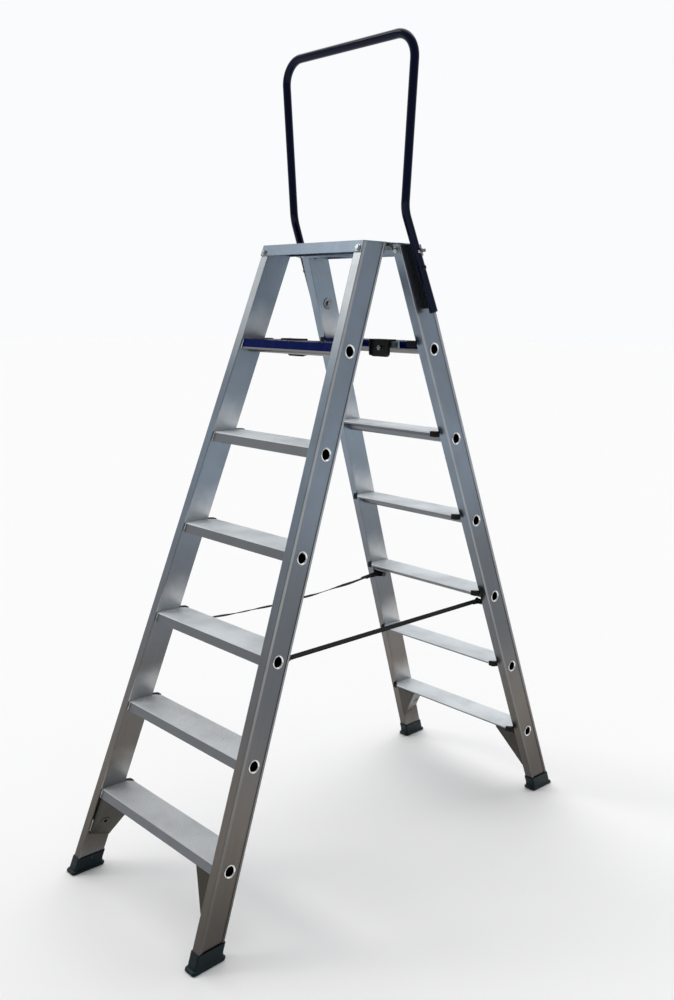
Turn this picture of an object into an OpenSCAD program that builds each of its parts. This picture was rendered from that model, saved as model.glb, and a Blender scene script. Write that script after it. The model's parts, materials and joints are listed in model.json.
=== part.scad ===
// Trestle ladder: two hinged climbing sections with a handrail bow on the rear one.
// X runs across the ladder, the front section stands towards -Y, and Z is up from the floor.

/* [Overall] */
// Height of the top step above the floor
top_h = 1635; // [1560:1:1700]
// Lean of each section from the vertical, in degrees
lean = 20.4; // [17:0.1:23]
// Width across both stiles at the floor
foot_span = 578; // [500:1:660]
// Width across both stiles at the top
top_span = 364; // [340:1:440]

/* [Stiles] */
// Width of the stile section, across the ladder
stile_w = 27; // [24:0.5:34]
// Depth of the stile section, from the climbing face inwards
stile_d = 71; // [66:0.5:78]
// Wall of the stile section
stile_wall = 2; // [1.6:0.1:3]
// Corner radius of the stile section
stile_r = 2; // [1:0.1:3]
// Depth of the recess along the outer face
recess = 1.6; // [1:0.1:2.4]
// Width of the raised band beside the climbing edge
band_front = 9; // [6:0.5:12]
// Width of the raised band beside the inner edge
band_back = 7; // [5:0.5:10]

/* [Treads] */
// Height of the lowest tread's tube axis above the floor
first_tread = 213; // [200:1:225]
// Depth of a tread's top from front edge to nose
tread_d = 87; // [80:0.5:92]
// Set-back of the treads and braces from the climbing face
tread_set = 6; // [3:0.5:10]
// Height of the tread top above the tube axis
tread_up = 17.3; // [17:0.1:20]
// Depth of the tread bottom below the tube axis
tread_down = 6; // [5:0.5:10]
// Wall of the tread section
tread_wall = 2.2; // [1.8:0.1:3]
// Height of the grip ribs on the tread top
rib_h = 1; // [0.6:0.1:1.4]
// Spacing of the grip ribs
rib_pitch = 5; // [4:0.5:7]
// Width of one grip rib
rib_w = 2.4; // [1.6:0.1:3]
// Height of the lip along the nose
nose_lip = 6.5; // [5:0.5:9]
// Length of the corner cut at each end of the nose
corner_cut = 16; // [12:0.5:18]
// Thickness of the plug in a nose corner
plug_t = 8; // [5:0.5:9]
// Height of that plug
plug_h = 12; // [10:0.5:16]
// Distance of the tube axis behind the climbing face
tube_depth = 37.4; // [35:0.1:40]
// Outside diameter of the tube along a tread
tube_od = 29; // [27:0.5:31]
// Bore of the tube
tube_bore = 24; // [20:0.5:25]
// Width of the web between the tube and the tread top
tube_web = 4; // [2:0.5:8]
// Clearance round the tube in the stile
tube_fit = 0.2; // [0.1:0.05:0.5]
// Outside diameter of the rolled ring at a tube end
ring_od = 33; // [32:0.5:38]
// Height of the rolled ring
ring_h = 1.8; // [1:0.1:2.5]

/* [Top step] */
// Thickness of the top step plate
cap_t = 3; // [2:0.1:4]
// Thickness of the lips of the top step
lip_t = 2.5; // [2:0.1:4]
// Height of the lips of the top step
lip_h = 26; // [24:0.5:32]
// Distance of a top bolt from the outer edge
top_bolt_in = 12; // [11:0.5:15]
// Distance of a top bolt below the top
top_bolt_down = 17; // [15:0.5:18]
// Diameter of a top bolt
top_bolt_d = 7; // [5:0.5:8]
// Diameter of the washers under the bolts' heads
washer_d = 16; // [14:0.5:18]
// Thickness of a washer
washer_t = 1.6; // [1:0.1:2.5]
// Clearance round every bolt, screw and rivet
bolt_fit = 0.2; // [0.1:0.05:0.5]

/* [Hinge] */
// Outside diameter of the hinge knuckles
knuckle_d = 12; // [10:0.5:16]
// Diameter of the hinge pin
pin_d = 6.5; // [5:0.5:8]
// Radial clearance of the pin in the knuckles
pin_fit = 0.06; // [0.02:0.01:0.1]
// Distance from a stile's inner edge to the hinge axis
pin_gap = 23; // [21:0.5:30]
// Length of the pin past the last knuckle at each end
pin_past = 3; // [1:0.5:6]
// Number of knuckles along the pin, an odd number
knuckles = 7; // [5:2:11]
// Gap between two knuckles
knuckle_gap = 0.5; // [0.3:0.1:1]
// Thickness of the hinge leaves
leaf_t = 2.5; // [2:0.1:3.5]
// Height of a leaf's flange on the lip
leaf_h = 16; // [14:0.5:22]
// Height of the rivets in a leaf, below the top
leaf_rivet_down = 10; // [9:0.5:11]
// Distance of the hinge from the outer faces of the stiles
hinge_in = 6; // [4:0.5:12]
// Number of rivets in a hinge leaf
leaf_rivets = 6; // [4:1:8]
// Diameter of every rivet
rivet_d = 4.8; // [3:0.1:6]
// Diameter of a rivet head
rivet_head_d = 9; // [8:0.5:12]
// Height of a rivet head
rivet_head_h = 2.2; // [1.5:0.1:3]

/* [Feet] */
// Height of a foot's sleeve above the floor
foot_h = 43; // [36:1:60]
// Thickness of the foot under the stile
foot_floor = 10; // [6:0.5:14]
// Overhang of the sole beside the stile
sole_side = 5; // [4:0.5:10]
// Overhang of the sole before and behind the stile
sole_end = 8.6; // [6:0.2:14]
// Height of the sole's rim
sole_rim = 7; // [5:0.5:9]
// Bevel of the sole's edges
sole_edge = 1.5; // [0.8:0.1:2]
// Shift of the sole towards the hinge
sole_shift = 2.3; // [0:0.1:4]
// Thickness of the sleeve round the stile
sleeve_t = 3; // [2.4:0.1:4]
// Corner radius of the foot
foot_r = 5; // [3:0.5:7]
// Clearance of the stile in the sleeve
sleeve_fit = 0.15; // [0.1:0.05:0.3]
// Height of the foot screws above the floor
foot_screw_z = 34; // [28:0.5:36]
// Diameter of a foot screw
foot_screw_d = 4; // [3:0.1:5]
// Diameter of a foot screw's head
foot_screw_head = 8; // [6:0.5:10]

/* [Braces] */
// Thickness of the brace plate
brace_t = 3; // [2:0.1:4]
// Height of the brace's lower edge above the floor, at the climbing face
brace_z = 109; // [90:1:125]
// Reach of the brace from the stile, under the tread's front
brace_reach = 57; // [45:1:70]
// Height of the brace's flange on the stile
brace_flange = 45; // [40:1:60]
// Height of the rivets above the brace's lower edge, along the stile
brace_rivet_up = 32; // [28:0.5:36]
// Distance of the outer rivets from the stile's edges
brace_rivet_in = 20; // [16:0.5:26]
// Distance of the hole's centre above the brace's lower edge, along the stile
brace_hole_up = 52; // [44:0.5:60]
// Distance of the hole's centre behind the climbing face
brace_hole_depth = 24; // [22:0.5:34]
// Diameter of the hole through the brace
brace_hole = 10; // [8:0.5:14]
// Width of the raised rim round that hole
brace_rim = 8.5; // [6:0.5:10]
// Height of that rim
brace_rim_h = 1; // [0.5:0.1:2]
// Gap between the brace and the tread's tube
brace_gap = 0.5; // [0.3:0.1:1]

/* [Straps] */
// Number, from the floor, of the tread that the straps are fixed below
strap_tread_number = 3; // [2:1:4]
// Distance of the strap studs below that tread's tube, along the stile
stud_down = 16; // [15:0.5:30]
// Distance of the strap studs behind the climbing face
stud_depth = 57; // [54:0.5:62]
// Diameter of a strap stud
stud_d = 8; // [6:0.5:10]
// Diameter of a stud's head
stud_head_d = 16; // [14:0.5:20]
// Thickness of a stud's head
stud_head_t = 3; // [2:0.1:5]
// Width of the strap webbing
strap_w = 25; // [20:1:30]
// Thickness of the webbing
strap_t = 2; // [1.5:0.1:3]
// Room for the webbing along its stud, at each side
strap_room = 1.5; // [0.5:0.1:3]
// Gap between the webbing and what holds it
strap_fit = 0.3; // [0.2:0.05:0.6]
// Length of the sewn end of a strap
strap_tail = 48; // [30:1:80]
// Sag of the slack left strap at its middle
strap_sag = 22; // [10:1:60]

/* [Folding stops] */
// Width of a stop plate
stop_w = 68; // [50:1:90]
// Distance of a stop plate's near edge from the middle of the ladder
stop_in = 29; // [27:1:45]
// Thickness of a stop plate
stop_t = 3.5; // [2:0.1:4]
// Depth of the stop plate below the tread's tube axis
stop_down = 23; // [18:0.5:30]
// Length of the stop plate's fold on the tread
stop_fold = 22; // [15:0.5:30]
// Height of the stop plate's side flanges
stop_flange = 6; // [3:0.5:6.5]
// Radius of the stop plate's lower corners
stop_r = 10; // [5:0.5:16]
// Diameter of the bolt through a stop plate
stop_bolt_d = 8; // [6:0.5:10]
// Height of that bolt's head
stop_head = 5; // [3:0.5:6]
// Thickness of the spring clip's strip
clip_t = 1.5; // [1:0.1:2.5]
// Length of the spring clip
clip_len = 38; // [28:1:44]
// Height of the spring clip
clip_h = 17; // [10:0.5:20]
// Bend radius of the spring clip's curl
clip_r = 3; // [2:0.2:3]

/* [Handrail bow] */
// Diameter of the bow's tube
bow_d = 21; // [18:0.5:24]
// Wall of the bow's tube
bow_wall = 2; // [1.5:0.1:3]
// Distance of the bow's legs from the outer face of the stile
bow_off = 23; // [20:0.5:30]
// Depth of a leg's lower end behind the climbing face
bow_depth = 34; // [30:0.5:38]
// Angle of the legs to the stile, in degrees
bow_tilt = 3.2; // [0:0.1:4]
// Distance of a leg's lower end below the hinge, along the stile
bow_low = 186; // [170:1:200]
// Length of a leg from its lower end to the kink
bow_leg = 252; // [235:1:275]
// Height of the bow's top bar axis above the top step
bow_rise = 453; // [400:1:560]
// Reach of the bow's upper corners past the width at the top, at each side
bow_flare = 43; // [30:1:60]
// Distance of the bow's top bar behind the hinge axis
bow_back = 10; // [0:1:30]
// Bend radius of the kinks
kink_r = 90; // [60:1:140]
// Bend radius of the top corners
bow_r = 55; // [40:1:80]
// Swell of the tube's diameter in a bend
bow_swell = 0.1; // [0.06:0.02:0.4]
// Width of the saddle under the tube
saddle_w = 15; // [12:0.5:18]
// Distance of the saddle's lower edge above the leg's lower end
saddle_low = 10; // [6:0.5:14]
// Clearance between the tube and its saddle
saddle_fit = 0.1; // [0.05:0.05:0.3]
// Distance of the lower bolt from the leg's lower end
bow_bolt_low = 20; // [18:1:30]
// Distance of the upper bolt from the leg's lower end
bow_bolt_high = 152; // [148:1:154]
// Diameter of the wide washers under the lower bolts' heads
wide_washer_d = 32; // [26:0.5:36]
// Distance of the middle screw from the leg's lower end
bow_screw = 111; // [95:1:120]
// Diameter of the bow's bolts and screws
bow_bolt_d = 8; // [6:0.5:9]
// Length of the bolt's thread past the nut
bow_thread = 10; // [4:0.5:16]
// Thickness of the plugs in the ends of the bow
bow_plug_t = 2.5; // [1.5:0.1:4]

/* [Hidden] */
SECTIONS = ["front", "rear"];
last_tread = 6;
TREADS = [1:last_tread];
PAIRED = ["stile_left", "stile_right", "top_channel", "tread_plugs", "foot_left", "foot_right",
    "foot_screws", "brace_left", "brace_right", "brace_rivets", "top_bolts", "hinge_leaf",
    "hinge_rivets", "strap_studs", "stop_plate", "stop_bolt", "spring_clip"];
SINGLE = ["hinge_pin", "handrail_bow", "bow_saddle_left", "bow_saddle_right", "bow_bolts", "bow_nuts",
    "bow_screws", "bow_end_plugs", "strap_left", "strap_right"];
NODES = concat(
    [for (s = SECTIONS) for (k = TREADS) str(s, "_tread_", k)],
    [for (s = SECTIONS) for (p = PAIRED) str(s, "_", p)],
    SINGLE);
node = "all";
$fn = 48;

// Colours of the materials
ALUMINIUM = "silver";
STEEL = "lightsteelblue";
BLUE = "midnightblue";
BLACK = "dimgray";

// A length past the whole ladder, and a small one past a single face
far = 3000;
over = 1;

// Shares of a bolt's diameter: width of a head or nut over its corners, and their heights
hex_share = 1.7;
head_share = 0.6;
nut_share = 0.8;

// The hinge axis lies level with the knuckles' tops, flush with the top step
pin_z = top_h - knuckle_d / 2;
climb = -(pin_gap + stile_d);

// A climbing section has its own frame: depth from the hinge axis, and length along the lean
function along(z, depth) = (z - pin_z + depth * sin(lean)) / cos(lean);
function face_y(depth, z) = (depth + (z - pin_z) * sin(lean)) / cos(lean);
function level_y(depth, run) = depth * cos(lean) + run * sin(lean);
function level_z(depth, run) = pin_z - depth * sin(lean) + run * cos(lean);

// The stiles splay apart towards the floor
top_run = along(top_h, climb);
splay_tan = (foot_span - top_span) / 2 / (top_run - along(0, climb));
splay = atan(splay_tan);
function half_width(run) = top_span / 2 + (top_run - run) * splay_tan;
function inner_x(run) = half_width(run) - stile_w / cos(splay);

// Places of the treads, whose nose stands past the stile
axis_depth = climb + tube_depth;
first_run = along(first_tread, axis_depth);
function tread_run(k) = first_run + (k - 1) * tread_pitch;
function tread_y(k) = level_y(axis_depth, tread_run(k));
function tread_z(k) = level_z(axis_depth, tread_run(k));
// A tread's front leans with the stiles, so its place depends on the height above the tube axis
function tread_front(z) = (tread_set - tube_depth + z * sin(lean)) / cos(lean);
tread_back = tread_front(tread_up) + tread_d;
tread_top = tread_up + rib_h;
// The treads share the height up to the top step evenly
tread_pitch = (top_h - tread_top - first_tread) / last_tread / cos(lean);
// Turn of the cut that takes off a nose corner, in degrees
corner_turn = 135;

// The outer faces of the top step's lips, seen from the hinge axis
front_lip = climb - lip_t;
back_lip = lip_t - pin_gap;

// Hinge knuckles share the pin's length between the leaves
hinge_half = half_width(along(top_h, -pin_gap)) - hinge_in;
knuckle_step = 2 * hinge_half / knuckles;
leaf_rivet_run = along(top_h - leaf_rivet_down, back_lip);
leaf_clear = half_width(along(top_h, back_lip)) - top_bolt_in - washer_d / 2 - over;

// Strap studs, and the band's inner and outer radii round them
stud_run = tread_run(strap_tread_number) - stud_down;
stud_y = level_y(climb + stud_depth, stud_run);
stud_z = level_z(climb + stud_depth, stud_run);
stud_face = inner_x(stud_run);
loop_in = stud_d / 2 + strap_fit;
loop_out = loop_in + strap_t;
stud_len = strap_w + 2 * strap_room;
strap_mid = stud_face - stud_len / 2;
sag_r = (pow(stud_y, 2) + pow(strap_sag, 2)) / (2 * strap_sag);
sag_slope = asin(-stud_y / sag_r);

// Braces, in the stile's frame
brace_run = along(brace_z, climb);
brace_under = first_tread - tread_down;
brace_rise = (brace_under - brace_z) / cos(lean);
brace_slope = atan(brace_reach / brace_rise);

// The bow's points, from a leg's lower end round to the other leg, in the front section's level frame
leg_step = [0, sin(bow_tilt), cos(bow_tilt)];
function on_leg(s) = [bow_off, bow_depth, -bow_low] + s * leg_step;
function stile_to_level(p) = let (
        x = half_width(0) + p[0] * cos(splay) - p[2] * sin(splay),
        run = p[0] * sin(splay) + p[2] * cos(splay),
        depth = climb + p[1])
    [x, level_y(depth, run), level_z(depth, run)];
function mirrored(p) = [-p[0], p[1], p[2]];
leg_end = stile_to_level(on_leg(0));
leg_kink = stile_to_level(on_leg(bow_leg));
bow_corner = [top_span / 2 + bow_flare, -bow_back, top_h + bow_rise];
BOW_POINTS = [leg_end, leg_kink, bow_corner, mirrored(bow_corner), mirrored(leg_kink), mirrored(leg_end)];
BOW_BENDS = [0, kink_r, bow_r, bow_r, kink_r, 0];
last_run = len(BOW_POINTS) - 2;
// How far a straight stretch of the bow reaches into a bend
bow_seam = 0.5;

function unit(v) = v / norm(v);
function run_dir(i) = unit(BOW_POINTS[i + 1] - BOW_POINTS[i]);
function bend_angle(i) = acos(run_dir(i - 1) * run_dir(i));
function bend_cut(i) = i == 0 || i > last_run ? 0 : BOW_BENDS[i] * tan(bend_angle(i) / 2);
function run_length(i) = norm(BOW_POINTS[i + 1] - BOW_POINTS[i]) - bend_cut(i) - bend_cut(i + 1);

// The direction of a bend's centre, before the bend and after it, and the twist on from the last bend
function bend_in(i) = unit(run_dir(i) - (run_dir(i) * run_dir(i - 1)) * run_dir(i - 1));
function bend_out(i) = unit((run_dir(i) * run_dir(i - 1)) * run_dir(i) - run_dir(i - 1));
function twist(i) = i < 2 || i > last_run ? 0 : atan2(cross(bend_out(i - 1), bend_in(i)) * run_dir(i - 1),
    bend_out(i - 1) * bend_in(i));

// Frames of the two sections

module turned(s) {
    rotate([0, 0, s == "rear" ? 180 : 0]) children();
}

// A section's frame stands on the hinge axis and leans with the stiles
module leaning() {
    translate([0, 0, pin_z]) rotate([-lean, 0, 0]) children();
}

// The frame of one stile: X out of its outer face, Y in from its climbing face, Z up along it
module on_stile(side) {
    leaning() on_side(side) translate([half_width(0), climb, 0]) rotate([0, -splay, 0]) children();
}

module at_tread(k) {
    translate([0, tread_y(k), tread_z(k)]) children();
}

// A flat shape in depth and height, drawn out along X to both sides
module across(half) {
    rotate([90, 0, 90]) translate([0, 0, -half]) linear_extrude(2 * half) children();
}

module along_x(d, half) {
    rotate([0, 90, 0]) cylinder(d = d, h = 2 * half, center = true);
}

// What lies between two heights above the floor
module slab(low, high) {
    translate([-far, -far, low]) cube([2 * far, 2 * far, high - low]);
}

// What lies between the stiles' faces, moved outwards by an offset
module between_stiles(offset) {
    low = -far;
    high = far / 4;
    grow = offset / cos(splay);
    leaning() rotate([90, 0, 0]) translate([0, 0, -far]) linear_extrude(2 * far) polygon([
        [-half_width(low) - grow, low], [half_width(low) + grow, low],
        [half_width(high) + grow, high], [-half_width(high) - grow, high]]);
}

// A head with a flat seat and a domed top, on the XY plane
module dome(d, h) {
    ball = (d * d / 4 + h * h) / (2 * h);
    intersection() {
        translate([0, 0, h - ball]) sphere(ball);
        cylinder(d = d + over, h = h);
    }
}

module hex(d, h) {
    cylinder(d = d * hex_share, h = h, $fn = 6);
}

module on_side(side) {
    mirror([side < 0 ? 1 : 0, 0, 0]) children();
}

// Stiles

module stile_outline(grow) {
    round = stile_r + grow;
    translate([-stile_w - grow + round, -grow]) square([stile_w + 2 * (grow - round), stile_d + 2 * grow]);
    translate([-stile_w - grow, -grow + round]) square([stile_w + 2 * grow, stile_d + 2 * (grow - round)]);
    for (x = [-stile_w + stile_r, -stile_r])
        for (y = [stile_r, stile_d - stile_r])
            translate([x, y]) circle(round);
}

module stile_profile() {
    difference() {
        stile_outline(0);
        translate([-recess, band_front]) square([recess + over, stile_d - band_front - band_back]);
        translate([stile_wall - stile_w, stile_wall])
            square([stile_w - 2 * stile_wall - recess, stile_d - 2 * stile_wall]);
    }
}

module stile_length(side) {
    on_stile(side) translate([0, 0, -far]) linear_extrude(2 * far) children();
}

module tread_holes() {
    for (k = TREADS)
        at_tread(k) along_x(tube_od + 2 * tube_fit, foot_span);
}

module stile(side, carries_bow) {
    color(ALUMINIUM) difference() {
        intersection() {
            stile_length(side) stile_profile();
            slab(foot_floor, top_h - cap_t);
        }
        tread_holes();
        top_bolt_holes();
        on_foot_screw(side) cylinder(d = foot_screw_d + 2 * bolt_fit, h = stile_w, center = true);
        stud_holes();
        on_brace_rivets(side) cylinder(d = rivet_d + 2 * bolt_fit, h = stile_w, center = true);
        if (carries_bow)
            bow_holes(side);
    }
}

// Treads

// A tread's section is a top plate with a leaning front, a lip along the nose and a web down to the tube
module tread_front_wall() {
    slant = tread_wall / cos(lean);
    polygon([[tread_front(-tread_down), -tread_down], [tread_front(-tread_down) + slant, -tread_down],
        [tread_front(tread_up) + slant, tread_up], [tread_front(tread_up), tread_up]]);
}

module tread_ribs() {
    count = floor((tread_d - rib_w) / rib_pitch);
    edge = (tread_d - count * rib_pitch - rib_w) / 2;
    for (i = [0:count])
        translate([tread_front(tread_up) + edge + i * rib_pitch, tread_up - tread_wall / 2])
            square([rib_w, rib_h + tread_wall / 2]);
}

module tread_profile() {
    tread_front_wall();
    translate([tread_front(tread_up), tread_up - tread_wall]) square([tread_d, tread_wall]);
    translate([tread_back - tread_wall, tread_up - nose_lip]) square([tread_wall, nose_lip]);
    tread_ribs();
    translate([-tube_web / 2, 0]) square([tube_web, tread_up - tread_wall / 2]);
}

// The plan of a nose corner: a strip outside the slanting cut, as deep as asked
module nose_corner(k, side, depth) {
    cut_y = tread_back - corner_cut;
    run = (tread_y(k) + cut_y) * sin(lean) + (tread_z(k) - pin_z) * cos(lean);
    on_side(side) translate([inner_x(run), cut_y, -far / 2]) rotate([0, 0, corner_turn])
        translate([-corner_cut, -depth, 0]) cube([4 * corner_cut, depth, far]);
}

module tread(k, tint) {
    color(tint) difference() {
        union() {
            difference() {
                intersection() {
                    at_tread(k) across(foot_span) tread_profile();
                    between_stiles(-stile_w);
                }
                for (side = [-1, 1])
                    at_tread(k) nose_corner(k, side, 3 * corner_cut);
            }
            intersection() {
                at_tread(k) along_x(tube_od, foot_span);
                between_stiles(ring_h / 2 - recess);
            }
            for (side = [-1, 1])
                leaning() on_side(side) rolled_ring(tread_run(k));
        }
        at_tread(k) along_x(tube_bore, foot_span);
        for (side = [-1, 1])
            leaning() on_side(side) ring_mouth(tread_run(k));
    }
}

// The tube's end is rolled out on the floor of the stile's recess
module at_ring(run) {
    translate([half_width(run) - recess / cos(splay), axis_depth, run]) rotate([0, 90 - splay, 0]) children();
}

module rolled_ring(run) {
    at_ring(run) rotate_extrude() {
        translate([tube_bore / 2 - ring_h, 0]) square([ring_od / 2 - tube_bore / 2, ring_h]);
        intersection() {
            translate([ring_od / 2 - ring_h, 0]) circle(ring_h);
            square([ring_od, ring_h]);
        }
    }
}

module ring_mouth(run) {
    at_ring(run) translate([0, 0, -ring_h])
        cylinder(d1 = tube_bore - ring_h, d2 = tube_bore + 3 * ring_h, h = 2 * ring_h + over / 10);
}

module tread_plugs() {
    color(BLACK) for (k = TREADS) for (side = [-1, 1])
        intersection() {
            at_tread(k) across(foot_span) translate([0, tread_up - plug_h]) square([tread_back, plug_h]);
            between_stiles(-stile_w);
            at_tread(k) nose_corner(k, side, plug_t);
        }
}

// Top step

module top_profile(depth_in, low, high) {
    polygon([
        [face_y(climb - depth_in, low), low], [face_y(climb - depth_in, high), high],
        [face_y(depth_in - pin_gap, high), high], [face_y(depth_in - pin_gap, low), low]]);
}

// On the outside of both lips, near both ends, pointing out of the lip
module on_top_bolts() {
    for (depth = [front_lip, back_lip], side = [-1, 1]) {
        run = along(top_h - top_bolt_down, depth);
        leaning() on_side(side) translate([half_width(run) - top_bolt_in, depth, run])
            rotate([depth < climb ? 90 : -90, 0, 0]) children();
    }
}

module top_bolt_holes() {
    on_top_bolts()
        cylinder(d = top_bolt_d + 2 * bolt_fit, h = 2 * (lip_t + stile_wall + over), center = true);
}

module top_channel() {
    color(ALUMINIUM) difference() {
        intersection() {
            across(foot_span) difference() {
                top_profile(lip_t, top_h - lip_h, top_h);
                top_profile(0, top_h - lip_h - over, top_h - cap_t);
            }
            between_stiles(0);
        }
        top_bolt_holes();
        at_leaf_rivets() cylinder(d = rivet_d + 2 * bolt_fit, h = 4 * lip_t, center = true);
    }
}

module top_bolts() {
    grip = lip_t + stile_wall;
    color(STEEL) on_top_bolts() {
        cylinder(d = washer_d, h = washer_t);
        translate([0, 0, washer_t]) hex(top_bolt_d, top_bolt_d * head_share);
        translate([0, 0, -grip]) cylinder(d = top_bolt_d, h = grip + washer_t);
    }
}

// Hinge

// A leaf's section: a flange on the lip, and a web that runs flush with the top to the pin
module leaf_flange() {
    low = top_h - leaf_h;
    polygon([
        [face_y(back_lip, low), low], [face_y(back_lip, top_h), top_h],
        [face_y(back_lip + leaf_t, top_h), top_h], [face_y(back_lip + leaf_t, low), low]]);
}

module leaf_web() {
    edge = face_y(back_lip, top_h);
    translate([edge, top_h - leaf_t]) square([-edge, leaf_t]);
}

module at_leaf_rivets() {
    step = 2 * leaf_clear / leaf_rivets;
    leaning() for (i = [0:leaf_rivets - 1])
        translate([(i + 0.5) * step - leaf_clear, back_lip, leaf_rivet_run]) rotate([-90, 0, 0]) children();
}

module hinge_leaf(first) {
    color(STEEL) difference() {
        union() {
            across(leaf_clear) leaf_flange();
            across(hinge_half) leaf_web();
            translate([0, 0, pin_z]) along_x(knuckle_d, hinge_half);
        }
        for (i = [0:knuckles - 1])
            if (i % 2 != first)
                translate([i * knuckle_step - hinge_half - knuckle_gap / 2, -knuckle_d / 2 - over, 0])
                    cube([knuckle_step + knuckle_gap, far, far]);
        translate([0, 0, pin_z]) along_x(pin_d + 2 * pin_fit, foot_span);
        at_leaf_rivets() cylinder(d = rivet_d + 2 * bolt_fit, h = 4 * leaf_t, center = true);
    }
}

module hinge_rivets() {
    color(STEEL) at_leaf_rivets() {
        translate([0, 0, -lip_t]) cylinder(d = rivet_d, h = lip_t + leaf_t + over);
        translate([0, 0, leaf_t]) dome(rivet_head_d, rivet_head_h);
        translate([0, 0, -lip_t]) rotate([180, 0, 0]) dome(rivet_head_d, rivet_head_h);
    }
}

module hinge_pin() {
    color(STEEL) translate([0, 0, pin_z]) along_x(pin_d, hinge_half + pin_past);
}

// Feet

foot_mid = climb + stile_d / 2;
stile_half = stile_w / 2 / cos(splay);
stile_end = stile_d / 2 / cos(lean);
foot_skew = -splay_tan * sin(lean);
FOOT_SIDES = 28;

// Height, overhang beside and before the stile, and the share of the sole's shift
FOOT_LEVELS = [
    [0, sole_side - sole_edge, sole_end - sole_edge, 1],
    [sole_edge, sole_side, sole_end, 1],
    [sole_rim, sole_side, sole_end, 1],
    [sole_rim + 2 * sole_edge, sole_side - sole_edge, sole_end - 2 * sole_edge, 1],
    [(sole_rim + foot_h / 2) / 2, sleeve_t, sleeve_t + sole_edge / 2, 1 / 2],
    [foot_h / 2, sleeve_t, sleeve_t, 0],
    [foot_h, sleeve_t, sleeve_t, 0]];

function foot_point(level, i) = let (
        z = level[0],
        turn = 360 * (i + 0.5) / FOOT_SIDES,
        wide = stile_half + level[1] - foot_r,
        long = stile_end + level[2] - foot_r,
        y = sign(sin(turn)) * long + foot_r * sin(turn),
        x = sign(cos(turn)) * wide + foot_r * cos(turn),
        run = along(z, foot_mid))
    [half_width(run) - stile_half + x + foot_skew * y,
        face_y(foot_mid, z) + level[3] * sole_shift + y, z];

module foot_body() {
    rings = len(FOOT_LEVELS);
    points = [for (level = FOOT_LEVELS) for (i = [0:FOOT_SIDES - 1]) foot_point(level, i)];
    walls = [for (r = [0:rings - 2]) for (i = [0:FOOT_SIDES - 1]) let (
            a = r * FOOT_SIDES + i,
            b = r * FOOT_SIDES + (i + 1) % FOOT_SIDES)
        each [[a, a + FOOT_SIDES, b], [b, a + FOOT_SIDES, b + FOOT_SIDES]]];
    base = [for (i = [0:FOOT_SIDES - 1]) i];
    crown = [for (i = [FOOT_SIDES - 1:-1:0]) (rings - 1) * FOOT_SIDES + i];
    polyhedron(points, concat(walls, [base, crown]));
}

// On the sleeve's inner side, half way along it, pointing into the ladder
module on_foot_screw(side) {
    on_stile(side) translate([-stile_w - sleeve_t, stile_d / 2, along(foot_screw_z, climb + stile_d / 2)])
        rotate([0, -90, 0]) children();
}

module foot(side) {
    color(BLACK) difference() {
        on_side(side) foot_body();
        intersection() {
            stile_length(side) stile_outline(sleeve_fit);
            slab(foot_floor, foot_h + over);
        }
        on_foot_screw(side)
            cylinder(d = foot_screw_d + 2 * bolt_fit, h = 2 * (sleeve_t + over), center = true);
    }
}

module foot_screws() {
    color(STEEL) for (side = [-1, 1])
        on_foot_screw(side) {
            dome(foot_screw_head, foot_screw_d / 2);
            translate([0, 0, -sleeve_t - stile_wall])
                cylinder(d = foot_screw_d, h = sleeve_t + stile_wall + over);
        }
}

// Braces under the lowest tread

// A shape in reach and height, drawn out from the treads' front to some depth
module brace_plan(points, deep) {
    translate([-stile_w, tread_set + deep, brace_run]) rotate([90, 0, 0])
        linear_extrude(deep) polygon([for (p = points) [-p[0], p[1]]]);
}

module on_brace_rivets(side) {
    for (depth = [brace_rivet_in, stile_d - brace_rivet_in])
        on_stile(side) translate([-stile_w - brace_t, depth, brace_run + brace_rivet_up])
            rotate([0, -90, 0]) children();
}

// On the brace's underside, square to its sloping web
module on_brace_web(side) {
    reach = brace_hole_up * tan(brace_slope);
    on_stile(side) translate([-stile_w - reach, brace_hole_depth, brace_run + brace_hole_up])
        rotate([0, -90 - brace_slope, 0]) children();
}

module brace(side) {
    rise = 2 * brace_rise;
    reach = rise * tan(brace_slope);
    thick = brace_t / sin(brace_slope);
    deep = stile_d - tread_set;
    color(ALUMINIUM) difference() {
        union() {
            intersection() {
                on_stile(side) {
                    brace_plan([[0, 0], [reach, rise], [reach, rise + thick], [0, thick]], deep);
                    brace_plan([[0, 0], [reach, rise], [0, rise]], brace_t);
                    brace_plan(deep = deep,
                        points = [[0, brace_t], [brace_t, brace_t], [brace_t, brace_flange], [0, brace_flange]]);
                }
                slab(0, brace_under);
            }
            intersection() {
                on_stile(side) brace_plan([[0, 0], [reach, rise], [0, rise]], deep);
                slab(brace_under - brace_t, brace_under);
            }
            on_brace_web(side) cylinder(d = brace_hole + 2 * brace_rim, h = brace_rim_h);
        }
        at_tread(1) along_x(tube_od + 2 * brace_gap, foot_span);
        on_brace_web(side) cylinder(d = brace_hole, h = 6 * brace_t, center = true);
        on_brace_rivets(side) cylinder(d = rivet_d + 2 * bolt_fit, h = stile_w, center = true);
    }
}

module brace_rivets() {
    color(STEEL) for (side = [-1, 1])
        on_brace_rivets(side) {
            dome(rivet_head_d, rivet_head_h);
            translate([0, 0, -brace_t - stile_wall]) cylinder(d = rivet_d, h = brace_t + stile_wall + over);
        }
}

// Straps and their studs

module at_stud() {
    translate([0, stud_y, stud_z]) children();
}

module stud_holes() {
    for (side = [-1, 1])
        at_stud() translate([side * stud_face, 0, 0]) along_x(stud_d + 2 * bolt_fit, stile_w / 2);
}

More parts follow.
